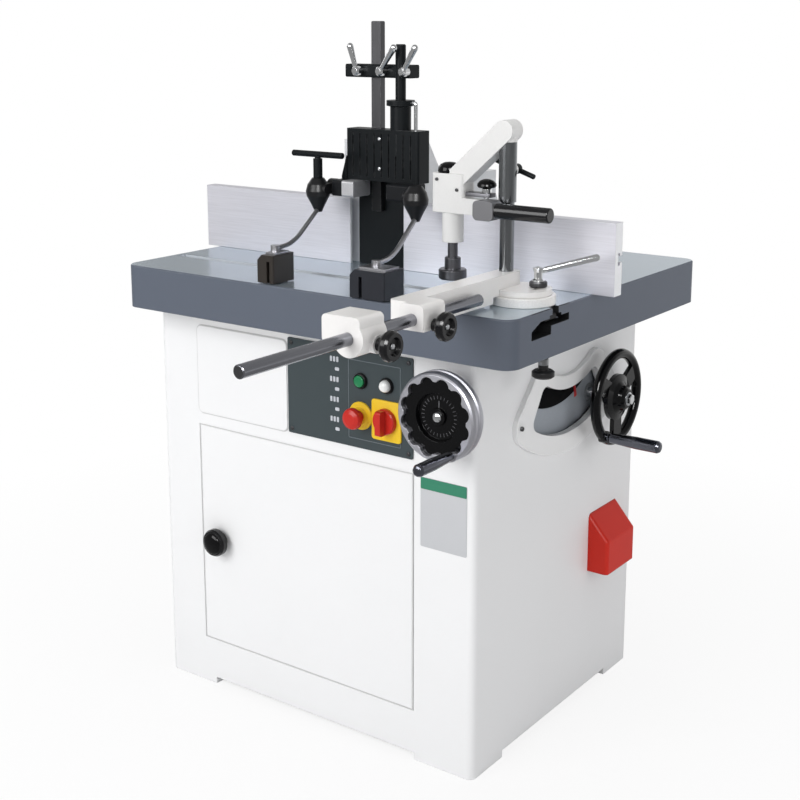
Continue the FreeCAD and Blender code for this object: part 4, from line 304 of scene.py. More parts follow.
def make_edge_wear():
    """Mask that is high on worn edges, and a normal that rounds them slightly."""
    tree, given, result = new_group("edge_wear", ("Mask", "Normal"), Radius=0.002, Amount=0.6, Breaks=90.0)
    rounded = add(tree, "ShaderNodeBevel", samples=4, Radius=given["Radius"]).outputs["Normal"]
    dot = add(tree, "ShaderNodeVectorMath", operation="DOT_PRODUCT")
    feed(tree, dot.inputs[0], rounded)
    feed(tree, dot.inputs[1], tree.nodes.new("ShaderNodeNewGeometry").outputs["Normal"])
    edge = remap(tree, dot.outputs["Value"], 0.985, 0.80)
    chips = remap(tree, noise(tree, object_place(tree), given["Breaks"], 5.0), 0.42, 0.62)
    feed(tree, result["Mask"], product(tree, product(tree, edge, chips), given["Amount"], True))
    feed(tree, result["Normal"], rounded)
    return tree


def make_grain():
    """Fine grain for paint, castings and plastics: a shade near 1, and a height."""
    tree, given, result = new_group("surface_grain", ("Shade", "Height"), Scale=600.0, Patches=6.0,
        Contrast=0.06)
    place = object_place(tree)
    fine = noise(tree, place, given["Scale"], 2.0)
    broad = noise(tree, place, given["Patches"], 4.0)
    both = math_node(tree, "ADD", product(tree, fine, 0.4), product(tree, broad, 0.6))
    feed(tree, result["Shade"], shade_near_one(tree, both, given["Contrast"]))
    feed(tree, result["Height"], fine)
    return tree


def make_tool_marks():
    """Streaks left by grinding, brushing or turning, stretched along one axis."""
    tree, given, result = new_group("tool_marks", ("Shade", "Height"), Stretch=(1.0, 60.0, 60.0),
        Contrast=0.15)
    stretched = add(tree, "ShaderNodeMapping", Vector=object_place(tree), Scale=given["Stretch"])
    streak = noise(tree, stretched.outputs["Vector"], 12.0, 6.0)
    feed(tree, result["Shade"], shade_near_one(tree, streak, given["Contrast"]))
    feed(tree, result["Height"], streak)
    return tree


def make_dust():
    """Mask of fine dust that settles on surfaces facing up."""
    tree, given, result = new_group("settled_dust", ("Mask",), Amount=0.2)
    level = remap(tree, facing_part(tree, "Z"), 0.55, 0.98)
    spread = remap(tree, noise(tree, object_place(tree), 14.0, 6.0), 0.35, 0.75)
    feed(tree, result["Mask"], product(tree, product(tree, level, spread), given["Amount"], True))
    return tree


EDGE_WEAR = make_edge_wear()
GRAIN = make_grain()
TOOL_MARKS = make_tool_marks()
DUST = make_dust()
DUST_COLOUR = (0.62, 0.55, 0.45)


# Finishes

def new_material(name):
    finish = bpy.data.materials.new(name)
    finish.use_nodes = True
    finish.node_tree.nodes.clear()
    return finish, finish.node_tree


def new_finish(name, **values):
    finish, tree = new_material(name)
    shader = add(tree, "ShaderNodeBsdfPrincipled", **values)
    add(tree, "ShaderNodeOutputMaterial", Surface=shader.outputs["BSDF"])
    return finish, tree, shader


def use(tree, group, **values):
    node = tree.nodes.new("ShaderNodeGroup")
    node.node_tree = group
    for key, value in values.items():
        node.inputs[key].default_value = value
    return node.outputs


def dusted(tree, colour, amount):
    return mixed(tree, use(tree, DUST, Amount=amount)["Mask"], colour, DUST_COLOUR)


def coated(name, colour, roughness, skin_group, skin_values, wear_values, under, dust, bump, **shader_values):
    """One colour with its surface texture, worn edges and dust."""
    finish, tree, shader = new_finish(name, **shader_values)
    skin = use(tree, skin_group, **skin_values)
    worn = use(tree, EDGE_WEAR, **wear_values)
    colour_now = mixed(tree, worn["Mask"], shaded(tree, colour, skin["Shade"]), under)
    if dust:
        colour_now = dusted(tree, colour_now, dust)
    feed(tree, shader.inputs["Base Color"], colour_now)
    feed(tree, shader.inputs["Roughness"], product(tree, skin["Shade"], roughness, True))
    feed(tree, shader.inputs["Normal"], bumped(tree, skin["Height"], *bump, worn["Normal"]))
    return finish


def enamel(name, colour, roughness, under, grain=500.0, contrast=0.05, peel=0.06, wear=0.5, edge=0.0015,
           dust=0.12, coat=0.0, gloss=0.5):
    """Paint on metal: orange peel, slight patches, edges worn to what lies under it, and dust."""
    return coated(name, colour, roughness, GRAIN, {"Scale": grain, "Patches": 5.0, "Contrast": contrast},
        {"Radius": edge, "Amount": wear, "Breaks": 70.0}, under, dust, (peel, 0.0006),
        Coat_Weight=coat, Coat_Roughness=0.12, Specular_IOR_Level=gloss)


def bare_metal(name, colour, roughness, stretch, contrast=0.16, marks=0.05):
    """Machined metal with tool marks and slightly brighter edges."""
    bright = tuple(min(1.0, c * 1.25 + 0.05) for c in colour)
    return coated(name, colour, roughness, TOOL_MARKS, {"Stretch": stretch, "Contrast": contrast},
        {"Radius": 0.0012, "Amount": 0.5, "Breaks": 120.0}, bright, 0.0, (marks, 0.0003), Metallic=1.0)


def moulding(name, colour, roughness, grain=900.0, contrast=0.10, texture=0.10, dust=0.05, gloss=0.5):
    """Moulded plastic or rubber with a fine texture."""
    light = tuple(min(1.0, c * 1.6 + 0.02) for c in colour)
    return coated(name, colour, roughness, GRAIN, {"Scale": grain, "Patches": 20.0, "Contrast": contrast},
        {"Radius": 0.001, "Amount": 0.25, "Breaks": 150.0}, light, dust, (texture, 0.0004),
        Specular_IOR_Level=gloss)


def beyond(axis, limit):
    return lambda tree: math_node(tree, "GREATER_THAN", place_part(tree, axis), limit)


def between(axis, low, high):
    return lambda tree: product(tree, math_node(tree, "GREATER_THAN", place_part(tree, axis), low),
        math_node(tree, "LESS_THAN", place_part(tree, axis), high))


def end_faces(axis):
    return lambda tree: math_node(tree, "GREATER_THAN",
        math_node(tree, "ABSOLUTE", facing_part(tree, axis)), 0.9)


def on_collar(tree):
    """The sleeve on the column, below the clamp arm's round end."""
    across = math_node(tree, "SUBTRACT", place_part(tree, "X"), COLUMN_PLACE[0])
    along = math_node(tree, "SUBTRACT", place_part(tree, "Y"), COLUMN_PLACE[1])
    squares = math_node(tree, "ADD", product(tree, across, across), product(tree, along, along))
    near = math_node(tree, "LESS_THAN", squares, COLLAR_R * COLLAR_R)
    return product(tree, near, math_node(tree, "LESS_THAN", place_part(tree, "Z"), COLLAR_TOP))


def two_tone(name, pick, first, second, stretch=(30.0, 30.0, 30.0), edge=(0.55, 0.56, 0.58), gloss=0.5,
             smooth_first=True):
    """Two tones on one piece, each a colour, a roughness and a share of metal, parted by place; on some
    pieces one tone is painted light or shade.
    """
    finish, tree, shader = new_finish(name, Specular_IOR_Level=gloss)
    mask = pick(tree)
    skin = use(tree, GRAIN, Scale=300.0, Patches=9.0, Contrast=0.06)
    streak = use(tree, TOOL_MARKS, Stretch=stretch, Contrast=0.13)
    worn = use(tree, EDGE_WEAR, Radius=0.0014, Amount=0.35, Breaks=100.0)
    shade = chosen(tree, mask, skin["Shade"] if smooth_first else streak["Shade"], streak["Shade"])
    colour_now = mixed(tree, mask, shaded(tree, first[0], shade), shaded(tree, second[0], shade))
    feed(tree, shader.inputs["Base Color"], mixed(tree, worn["Mask"], colour_now, edge))
    roughness = remap(tree, mask, 0.0, 1.0, first[1], second[1])
    feed(tree, shader.inputs["Roughness"], product(tree, shade, roughness, True))
    feed(tree, shader.inputs["Metallic"], remap(tree, mask, 0.0, 1.0, first[2], second[2]))
    feed(tree, shader.inputs["Normal"], bumped(tree, skin["Height"], 0.06, 0.0005, worn["Normal"]))
    return finish


def in_block(tree, y_span, height, start):
    """Walls in a block under the table's top, from a start to its right end."""
    across = product(tree, between("X", start, TABLE_HIGH[0] - SKIN)(tree), between("Y", *y_span)(tree))
    return product(tree, across, between("Z", TABLE_TOP - height, TABLE_TOP - SKIN)(tree))


def table_finish():
    """Ground cast-iron top with fine grinding streaks, over enamelled grey sides, with painted light on the
    slot's walls and painted shade in the pocket.
    """
    finish, tree, shader = new_finish("table_casting")
    high = math_node(tree, "GREATER_THAN", place_part(tree, "Z"), TABLE_TOP - 0.0005)
    ground = product(tree, high, math_node(tree, "GREATER_THAN", facing_part(tree, "Z"), 0.9))
    streak = use(tree, TOOL_MARKS, Stretch=(1.5, 45.0, 1.0), Contrast=0.12)
    skin = use(tree, GRAIN, Scale=420.0, Patches=7.0, Contrast=0.07)
    worn = use(tree, EDGE_WEAR, Radius=0.002, Amount=0.55, Breaks=60.0)
    top = shaded(tree, (0.46, 0.535, 0.60), streak["Shade"])
    paint = shaded(tree, (0.098, 0.116, 0.152), skin["Shade"])
    side = mixed(tree, worn["Mask"], paint, (0.45, 0.46, 0.48))
    colour_now = dusted(tree, mixed(tree, ground, side, top), 0.04)
    # Walls of the tee slot painted pale: painted light, so the slot does not read as a dark line of shade
    painted_light_mouth = in_block(tree, SLOT_Y_SPAN, SLOT_MOUTH_DEPTH, TABLE_LOW[0] + SKIN)
    colour_now = mixed(tree, painted_light_mouth, colour_now, shaded(tree, (0.62, 0.66, 0.71), streak["Shade"]))
    # Walls of the pocket painted near black: painted shade inside the recess
    pocket = in_block(tree, POCKET_Y_SPAN, POCKET_HEIGHT, TABLE_HIGH[0] - POCKET_DEPTH)
    colour_now = mixed(tree, pocket, colour_now, shaded(tree, (0.012, 0.013, 0.015), skin["Shade"]))
    feed(tree, shader.inputs["Base Color"], colour_now)
    feed(tree, shader.inputs["Metallic"], product(tree, ground, 0.7))
    feed(tree, shader.inputs["Roughness"], remap(tree, ground, 0.0, 1.0, 0.46, 0.24))
    feed(tree, shader.inputs["Normal"], bumped(tree, skin["Height"], 0.10, 0.0006, worn["Normal"]))
    return finish


IRON = (0.36, 0.37, 0.38)
STEEL_UNDER = (0.42, 0.43, 0.45)
WORN_RED = (0.70, 0.16, 0.12)
CABINET_WHITE = enamel("cabinet_white", (0.86, 0.863, 0.868), 0.38, STEEL_UNDER, 380.0, 0.025, 0.05, 0.25,
    0.002, 0.05)
BEZEL_WHITE = enamel("bezel_white", (0.88, 0.88, 0.88), 0.22, STEEL_UNDER, 300.0, 0.02, 0.02, 0.15, 0.002,
    0.04, coat=0.4)
CASTING_WHITE = enamel("casting_white", (0.86, 0.845, 0.83), 0.30, IRON, 220.0, 0.05, 0.10, 0.45, 0.0015,
    0.08, coat=0.2)
PANEL_GREY = enamel("panel_grey", (0.052, 0.068, 0.074), 0.45, STEEL_UNDER, 700.0, 0.08, 0.08, 0.3, 0.0008,
    0.04, gloss=0.3)
INLET_RED = enamel("inlet_red", (0.64, 0.028, 0.016), 0.30, WORN_RED, 300.0, 0.06, 0.04, 0.35, 0.004, 0.02,
    gloss=0.2)
GUARD_BLACK = enamel("guard_black", (0.0060, 0.0080, 0.0095), 0.36, IRON, 320.0, 0.20, 0.10, 0.35, 0.0012,
    0.03, gloss=0.16)
HOOD_GREY = enamel("hood_grey", (0.74, 0.75, 0.77), 0.36, IRON, 260.0, 0.05, 0.08, 0.4, 0.002, 0.10)
CASTING_GREY = enamel("casting_grey", (0.22, 0.24, 0.26), 0.5, IRON, 160.0, 0.12, 0.25, 0.45, 0.002, 0.10)
SHIELD_GREY = enamel("shield_grey", (0.36, 0.39, 0.43), 0.42, IRON, 160.0, 0.14, 0.10, 0.3, 0.001, 0.0)
MOTOR_BLUE = enamel("motor_blue", (0.10, 0.15, 0.22), 0.42, IRON, 200.0, 0.10, 0.15, 0.4, 0.0015, 0.10)
LIP_BEIGE = enamel("lip_beige", (0.50, 0.48, 0.44), 0.45, STEEL_UNDER, 380.0, 0.05)
TABLE_CASTING = table_finish()
GROUND_STEEL = bare_metal("ground_steel", (0.52, 0.53, 0.55), 0.26, (40.0, 40.0, 2.0))
COLUMN_STEEL = bare_metal("column_steel", (0.24, 0.25, 0.26), 0.17, (40.0, 40.0, 2.0), 0.10, 0.03)
DARK_STEEL = bare_metal("dark_steel", (0.11, 0.11, 0.115), 0.36, (60.0, 60.0, 2.0))
PLUNGER_STEEL = bare_metal("plunger_steel", (0.13, 0.13, 0.14), 0.34, (60.0, 60.0, 60.0), 0.25)
SPRING_STEEL = bare_metal("spring_steel", (0.46, 0.46, 0.48), 0.30, (20.0, 20.0, 20.0))
WHEEL_ALLOY = bare_metal("wheel_alloy", (0.62, 0.62, 0.67), 0.42, (18.0, 60.0, 18.0), 0.10)
CHROME = bare_metal("bright_chrome", (0.80, 0.81, 0.82), 0.10, (8.0, 8.0, 8.0), 0.04, 0.01)
DARK_CHROME = bare_metal("dark_chrome", (0.15, 0.155, 0.18), 0.18, (6.0, 6.0, 6.0), 0.10, 0.01)
# Milled faces of the fence, with end faces painted near white: a painted highlight where light falls on the
# ends
FENCE_ALLOY_LIT_ENDS = two_tone("fence_alloy", end_faces("X"), ((0.74, 0.735, 0.79), 0.42, 0.5),
    ((0.92, 0.93, 0.95), 0.45, 0.1), (1.2, 60.0, 60.0), (0.86, 0.86, 0.88), smooth_first=False)
MOUNT_PAIR = two_tone("mount_pair", between("X", *MOUNT_STEEL_X_SPAN), ((0.008, 0.009, 0.011), 0.38, 0.0),
    ((0.66, 0.66, 0.68), 0.38, 0.8), gloss=0.2)
GUIDE_STEEL = two_tone("guide_steel", beyond("Z", GUIDE_PAINT_TOP), ((0.007, 0.008, 0.009), 0.40, 0.0),
    ((0.105, 0.105, 0.11), 0.34, 1.0), (60.0, 60.0, 2.0), gloss=0.2)
ARM_BROWN, ARM_GREY = (
    two_tone(name, beyond("Z", SHOE_TOP), (shoe, 0.30, 0.0), ((0.006, 0.006, 0.007), 0.34, 0.0),
        edge=(0.10, 0.10, 0.10), gloss=0.4)
    for name, shoe in (("arm_brown", (0.030, 0.025, 0.021)), ("arm_grey", (0.019, 0.021, 0.028))))
STOP_PAIR = two_tone("stop_pair", beyond("Z", STOP_STEM_FROM_Z), ((0.020, 0.020, 0.021), 0.40, 0.0),
    ((0.34, 0.35, 0.36), 0.30, 1.0), (60.0, 60.0, 60.0), gloss=0.3)
# Steel bar whose end faces are painted near black: painted shade for a recess in the bar's end
BAR_STEEL_END_SHADE = two_tone("bar_steel", end_faces("Y"), ((0.255, 0.26, 0.285), 0.20, 1.0),
    ((0.020, 0.020, 0.022), 0.4, 0.0), (40.0, 2.0, 40.0), smooth_first=False)
CLAMP_WHITE = two_tone("clamp_white", on_collar, ((0.76, 0.757, 0.748), 0.30, 0.0),
    ((0.24, 0.25, 0.26), 0.20, 1.0), (40.0, 40.0, 2.0), IRON)
# White paint above the table's top; below it the carriage's steel guide is painted near black: painted shade
# inside the slot
CARRIAGE_AND_GUIDE_SHADE = two_tone("carriage_white_and_guide_shade", beyond("Z", TABLE_TOP + SKIN / 2),
    ((0.030, 0.031, 0.034), 0.45, 0.6), ((0.86, 0.845, 0.83), 0.30, 0.0), edge=IRON)
HANDLE_PAIR = two_tone("handle_pair", beyond("X", GRIP_FROM_X), ((0.20, 0.20, 0.21), 0.45, 0.8),
    ((0.006, 0.006, 0.007), 0.16, 0.0))
BLACK_PLASTIC = moulding("black_plastic", (0.009, 0.009, 0.010), 0.36, gloss=0.3)
BLACK_GLOSS = moulding("black_gloss", (0.002, 0.002, 0.0025), 0.08, 200.0, 0.05, 0.01, 0.01, gloss=0.3)
KNOB_BLACK = moulding("knob_black", (0.006, 0.006, 0.007), 0.20, 300.0, 0.08, 0.03, 0.02, gloss=0.4)
# Matt near-black of the sheet in the tilt slot: painted shade for the cabinet's dark inside
PAINTED_SHADE_BLACK = moulding("painted_shade_black", (0.003, 0.003, 0.0035), 0.6, 500.0, 0.15, 0.1, 0.0, gloss=0.08)
BELT_RUBBER = moulding("belt_rubber", (0.015, 0.015, 0.015), 0.75, 700.0, 0.15, 0.3)
BUTTON_GREEN = moulding("button_green", (0.010, 0.21, 0.075), 0.30, 400.0, 0.06, 0.03)
BUTTON_RED = moulding("button_red", (0.56, 0.022, 0.014), 0.28, 400.0, 0.06, 0.03, gloss=0.4)
SIGNAL_YELLOW = moulding("signal_yellow", (0.86, 0.56, 0.02), 0.38, 400.0, 0.06, 0.04, gloss=0.3)
LAMP_WHITE = moulding("lamp_white", (0.86, 0.87, 0.86), 0.18, 200.0, 0.02, 0.01)
MARK_WHITE = moulding("mark_white", (0.56, 0.58, 0.62), 0.5, 500.0, 0.12, 0.05)
DIAL_GREY = moulding("dial_grey", (0.10, 0.10, 0.108), 0.35, 500.0, 0.12, 0.05)
FRAME_LINE = moulding("frame_line", (0.15, 0.18, 0.20), 0.5, 500.0, 0.12, 0.05)
PLATE_PALE = moulding("plate_pale", (0.55, 0.56, 0.58), 0.45, 400.0, 0.05, 0.05)
PLATE_GREEN = moulding("plate_green", (0.040, 0.235, 0.140), 0.45, 400.0, 0.08, 0.05, gloss=0.3)
# Grey of the seam strips: painted shade
SEAM_SHADE_GREY = moulding("painted_seam_shade", (0.64, 0.64, 0.64), 0.6, 500.0, 0.12, 0.10)
POINTER_RED = moulding("pointer_red", (0.60, 0.03, 0.03), 0.35)

NODE_FINISHES = {
    CABINET_WHITE: "cabinet_shell cabinet_back upper_cover door",
    BEZEL_WHITE: "slot_bezel",
    PANEL_GREY: "control_panel",
    INLET_RED: "inlet_hood",
    GROUND_STEEL: "door_hinges table_ring tilt_shaft rise_shaft quill spindle arbor_collars",
    COLUMN_STEEL: "column",
    PLUNGER_STEEL: "plunger",
    BAR_STEEL_END_SHADE: "slide_bar",
    TABLE_CASTING: "table",
    CASTING_GREY: "tilt_brackets cradle motor_bracket",
    HOOD_GREY: "cutter_hood",
    GUARD_BLACK: "guard_mast guard_box cross_bar t_handle_left column_lever",
    ARM_BROWN: "holddown_left",
    ARM_GREY: "holddown_right",
    GUIDE_STEEL: "guide_bar",
    KNOB_BLACK: "latch_knob stop_knob arm_knob",
    STOP_PAIR: "slide_stop_knob",
    BUTTON_GREEN: "start_button",
    BUTTON_RED: "stop_button main_switch_knob",
    WHEEL_ALLOY: "tilt_handwheel spindle_pulley motor_pulley",
    DARK_CHROME: "tilt_grip rise_grip",
    HANDLE_PAIR: "clamp_handle",
    BLACK_GLOSS: "rise_handwheel tilt_wheel_insert",
    MOTOR_BLUE: "motor",
    BELT_RUBBER: "drive_belt",
    FENCE_ALLOY_LIT_ENDS: "fence_left fence_right",
    MOUNT_PAIR: "arm_mounts",
    CHROME: "lever_left lever_mid lever_right lock_lever",
    SPRING_STEEL: "spring_left spring_right",
    CASTING_WHITE: "mitre_arm stop_block",
    CARRIAGE_AND_GUIDE_SHADE: "carriage_base",
    CLAMP_WHITE: "clamp_arm",
}

for finish, names in NODE_FINISHES.items():
    for name in names.split():
        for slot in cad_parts[name].material_slots:
            slot.material = finish


# Mesh helpers

def frame_of(axis):
    """Rotation that turns +Z onto an axis."""
    return UP.rotation_difference(axis).to_matrix().to_4x4()


def box_of(node):
    """A node's lowest and highest corners, and its middle."""
    low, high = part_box(node)
    return low, high, [(a + b) / 2 for a, b in zip(low, high)]


def new_object(name, data):
    piece = bpy.data.objects.new(name, data)
    bpy.context.scene.collection.objects.link(piece)
    return piece


def plain_mesh(holder):
    """The mesh that a curve or a modifier makes, without its holder."""
    graph = bpy.context.evaluated_depsgraph_get()
    mesh = bpy.data.meshes.new_from_object(holder.evaluated_get(graph))
    holder.modifiers.clear()
    bpy.data.objects.remove(holder)
    return mesh


def keep(name, mesh, finish, body, smooth_deg=35.0):
    """Make an object of a mesh, give it its finish and let it ride on a body."""
    piece = new_object(name, mesh)
    mesh.materials.clear()
    mesh.materials.append(finish)
    mesh.polygons.foreach_set("use_smooth", [True] * len(mesh.polygons))
    mesh.set_sharp_from_angle(angle=math.radians(smooth_deg))
    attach(piece, body)
    return piece


def mesh_of(bm, name):
    bmesh.ops.remove_doubles(bm, verts=bm.verts, dist=1e-6)
    bmesh.ops.recalc_face_normals(bm, faces=bm.faces)
    mesh = bpy.data.meshes.new(name)
    bm.to_mesh(mesh)
    bm.free()
    return mesh


def add_quads(bm, near, far):
    """Faces between two rings of points."""
    for i in range(len(near)):
        j = (i + 1) % len(near)
        bm.faces.new((near[i], near[j], far[j], far[i]))


def circle(radius, height, steps):
    turns = [2 * math.pi * i / steps for i in range(steps)]
    return [Vector((radius * math.cos(a), radius * math.sin(a), height)) for a in turns]


def add_turned(bm, profile, place, axis, steps=40, closed=False):
    """Turn (radius, height) points about an axis. A closed profile makes a ring."""
    turn = Matrix.Translation(place) @ frame_of(axis)
    rings = [[bm.verts.new(turn @ point) for point in circle(radius, height, steps)]
             for radius, height in profile]
    for near, far in zip(rings, rings[1:] + rings[:1] if closed else rings[1:]):
        add_quads(bm, near, far)
    return rings


def turned(name, profile, place, axis, finish, body, steps=40, closed=False):
    bm = bmesh.new()
    add_turned(bm, [(max(r, 1e-5), h) for r, h in profile], Vector(place), axis, steps, closed)
    bmesh.ops.dissolve_degenerate(bm, edges=bm.edges, dist=1e-6)
    return keep(name, mesh_of(bm, name), finish, body)


def add_slab(bm, outline, place, axis, thickness, bevel=0.0):
    """Extrude a flat outline, given across an axis, and bevel its front edge."""
    turn = Matrix.Translation(place) @ frame_of(axis)
    face = bm.faces.new([bm.verts.new(turn @ Vector((x, y, 0))) for x, y in outline])
    grown = bmesh.ops.extrude_face_region(bm, geom=[face])
    tops = [v for v in grown["geom"] if isinstance(v, bmesh.types.BMVert)]
    bmesh.ops.translate(bm, verts=tops, vec=axis * thickness)
    if bevel:
        caps = [f for f in grown["geom"] if isinstance(f, bmesh.types.BMFace)]
        edges = list({e for f in caps for e in f.edges})
        bmesh.ops.bevel(bm, geom=edges, offset=bevel, segments=2, profile=0.5, affect="EDGES")


def rounded_rectangle(width, height, radius, steps=5):
    points = []
    for sx, sy, start in ((1, 1, 0), (-1, 1, 90), (-1, -1, 180), (1, -1, 270)):
        for i in range(steps + 1):
            a = math.radians(start + 90.0 * i / steps)
            points.append((sx * (width / 2 - radius) + radius * math.cos(a),
                           sy * (height / 2 - radius) + radius * math.sin(a)))
    return points


def add_border(bm, middle, across, tall, bar, lap, corner, thickness):
    """Four bars along a rectangle's edges, facing the front. The level ones gain the lap in length."""
    level, upright = (across + lap, bar), (bar, tall - lap)
    for size, x, z in ((level, 0.0, tall / 2), (level, 0.0, -tall / 2),
                       (upright, across / 2, 0.0), (upright, -across / 2, 0.0)):
        place = Vector((middle[0] + x, middle[1], middle[2] + z))
        add_slab(bm, rounded_rectangle(*size, corner, 2), place, FRONT, thickness)


def slab(name, outline, place, axis, thickness, finish, body, bevel=0.0):
    bm = bmesh.new()
    add_slab(bm, outline, Vector(place), axis, thickness, bevel)
    return keep(name, mesh_of(bm, name), finish, body)


def rod(name, points, radius, finish, body):
    """Round rod along a smooth line."""
    curve = bpy.data.curves.new(name, "CURVE")
    curve.dimensions = "3D"
    curve.bevel_depth = radius
    curve.bevel_resolution = 4
    curve.use_fill_caps = True
    line = curve.splines.new("NURBS")
    line.points.add(len(points) - 1)
    for point, place in zip(line.points, points):
        point.co = (*place, 1.0)
    line.order_u = 3
    line.use_endpoint_u = True
    line.resolution_u = 8
    return keep(name, plain_mesh(new_object(name + "_line", curve)), finish, body)


# Repeated fittings, made with Geometry Nodes

def fitting_tree(name, **inputs):
    """Tree that copies a shape, with its inputs, its output and the shape."""
    tree = bpy.data.node_groups.new(name, "GeometryNodeTree")
    for label, kind in {"Geometry": "Geometry", "Shape": "Object", **inputs, "Finish": "Material"}.items():
        tree.interface.new_socket(label, in_out="INPUT", socket_type="NodeSocket" + kind)
    tree.interface.new_socket("Geometry", in_out="OUTPUT", socket_type="NodeSocketGeometry")
    given = tree.nodes.new("NodeGroupInput").outputs
    shape = add(tree, "GeometryNodeObjectInfo", Object=given["Shape"]).outputs["Geometry"]
    return tree, given, tree.nodes.new("NodeGroupOutput").inputs["Geometry"], shape


def repeat_tree(name):
    """Tree that sets a copied shape on every point, turned to an axis and about itself."""
    tree, given, result, shape = fitting_tree(name, Size="Float", Turn="Vector", Twist="Float")
    points = add(tree, "GeometryNodeMeshToPoints", Mesh=given["Geometry"]).outputs["Points"]
    copies = add(tree, "GeometryNodeInstanceOnPoints", Points=points, Instance=shape,
                 Rotation=given["Turn"], Scale=given["Size"]).outputs["Instances"]
    chance = add(tree, "FunctionNodeRandomValue", data_type="FLOAT", Seed=7)
    limit = [s for s in chance.inputs if s.name == "Max" and s.type == "VALUE"][0]
    feed(tree, limit, given["Twist"])
    angle = [s for s in chance.outputs if s.type == "VALUE"][0]
    spin = add(tree, "ShaderNodeCombineXYZ", Z=angle).outputs["Vector"]
    spun = add(tree, "GeometryNodeRotateInstances", Instances=copies, Rotation=spin).outputs["Instances"]
    real = add(tree, "GeometryNodeRealizeInstances", Geometry=spun).outputs["Geometry"]
    done = add(tree, "GeometryNodeSetMaterial", Geometry=real, Material=given["Finish"])
    feed(tree, result, done.outputs["Geometry"])
    return tree


def ring_tree(name):
    """Tree that sets copies of a shape along an arc, each turned to face outwards."""
    tree, given, result, shape = fitting_tree(name, Count="Int", Radius="Float", Start="Float", Step="Float",
        Size="Vector", Place="Vector", Turn="Vector")
    number = tree.nodes.new("GeometryNodeInputIndex").outputs["Index"]
    angle = math_node(tree, "ADD", product(tree, number, given["Step"]), given["Start"])
    across = product(tree, math_node(tree, "COSINE", angle), given["Radius"])
    along = product(tree, math_node(tree, "SINE", angle), given["Radius"])
    spot = add(tree, "ShaderNodeCombineXYZ", X=across, Y=along).outputs["Vector"]
    dots = add(tree, "GeometryNodePoints", Count=given["Count"], Position=spot).outputs[0]
    lean = add(tree, "ShaderNodeCombineXYZ", Z=angle).outputs["Vector"]
    copies = add(tree, "GeometryNodeInstanceOnPoints", Points=dots, Instance=shape, Rotation=lean,
                 Scale=given["Size"]).outputs["Instances"]
    real = add(tree, "GeometryNodeRealizeInstances", Geometry=copies).outputs["Geometry"]
    placed = add(tree, "GeometryNodeTransform", Geometry=real, Translation=given["Place"],
                 Rotation=given["Turn"]).outputs["Geometry"]
    done = add(tree, "GeometryNodeSetMaterial", Geometry=placed, Material=given["Finish"])
    feed(tree, result, done.outputs["Geometry"])
    return tree


REPEAT = repeat_tree("repeat_fitting")
RING = ring_tree("ring_of_fittings")


def shape_object(name, profile, steps, socket_radius=0.0, socket_depth=0.0):
    """Shape to copy: a turned head, with a socket where a radius is given."""
    bm = bmesh.new()
    rings = add_turned(bm, profile, Vector((0, 0, 0)), UP, steps)
    bm.faces.new(rings[0][::-1])
    if socket_radius:
        top = profile[-1][1]
        rim, floor = ([bm.verts.new(point) for point in circle(socket_radius, height, steps)]
                      for height in (top, top - socket_depth))
        add_quads(bm, rings[-1], rim)
        add_quads(bm, rim, floor)
        bm.faces.new(floor)
    else:
        bm.faces.new(rings[-1])
    return new_object(name, mesh_of(bm, name))


def bar_shape(name):
    """Unit bar with softened edges, for marks, ridges and ribs."""
    bm = bmesh.new()
    add_slab(bm, rounded_rectangle(1.0, 1.0, 0.18, 2), Vector((0, 0, 0)), UP, 1.0, 0.12)
    return new_object(name, mesh_of(bm, name))


CAP_SCREW = shape_object("cap_screw_shape", [(0.9, 0.0), (1.0, 0.1), (1.0, 0.8), (0.88, 1.0)], 12, 0.5, 0.55)
PAN_SCREW = shape_object("pan_screw_shape", [(1.0, 0.0), (1.0, 0.18), (0.85, 0.42), (0.45, 0.55)], 16, 0.28,
    0.25)
HEX_BOLT = shape_object("hex_bolt_shape", [(1.0, 0.0), (1.0, 0.55), (0.86, 0.66)], 6)
SHORT_BAR = bar_shape("bar_shape")
SHAPES = (CAP_SCREW, PAN_SCREW, HEX_BOLT, SHORT_BAR)


def evaluated(name, points, tree, values, body):
    """Run a tree on some points and keep the result as one plain mesh."""
    dots = bpy.data.meshes.new(name + "_dots")
    dots.from_pydata([tuple(p) for p in points], [], [])
    holder = new_object(name + "_dots", dots)
    tool = holder.modifiers.new("fittings", "NODES")
    tool.node_group = tree
    for item in tree.interface.items_tree:
        if item.in_out == "INPUT" and item.name in values:
            tool[item.identifier] = values[item.name]
    return keep(name, plain_mesh(holder), values["Finish"], body, 30.0)


def repeated(name, shape, places, axis, size, finish, body):
    """Copies of a fastener's shape at given places, each with a turn of its own."""
    values = {"Shape": shape, "Size": size, "Turn": frame_of(axis).to_euler(), "Twist": 3.0, "Finish": finish}
    return evaluated(name, places, REPEAT, values, body)


def ring_of(name, count, radius, size, place, axis, finish, body):
    """Bars round an axis, sized outwards, along the ring and on the axis."""
    values = {"Shape": SHORT_BAR, "Count": count, "Radius": radius, "Start": 0.0,
              "Step": math.radians(360.0 / count), "Size": size, "Place": place,
              "Turn": frame_of(axis).to_euler(), "Finish": finish}
    return evaluated(name, [(0.0, 0.0, 0.0)], RING, values, body)


# Cabinet and table

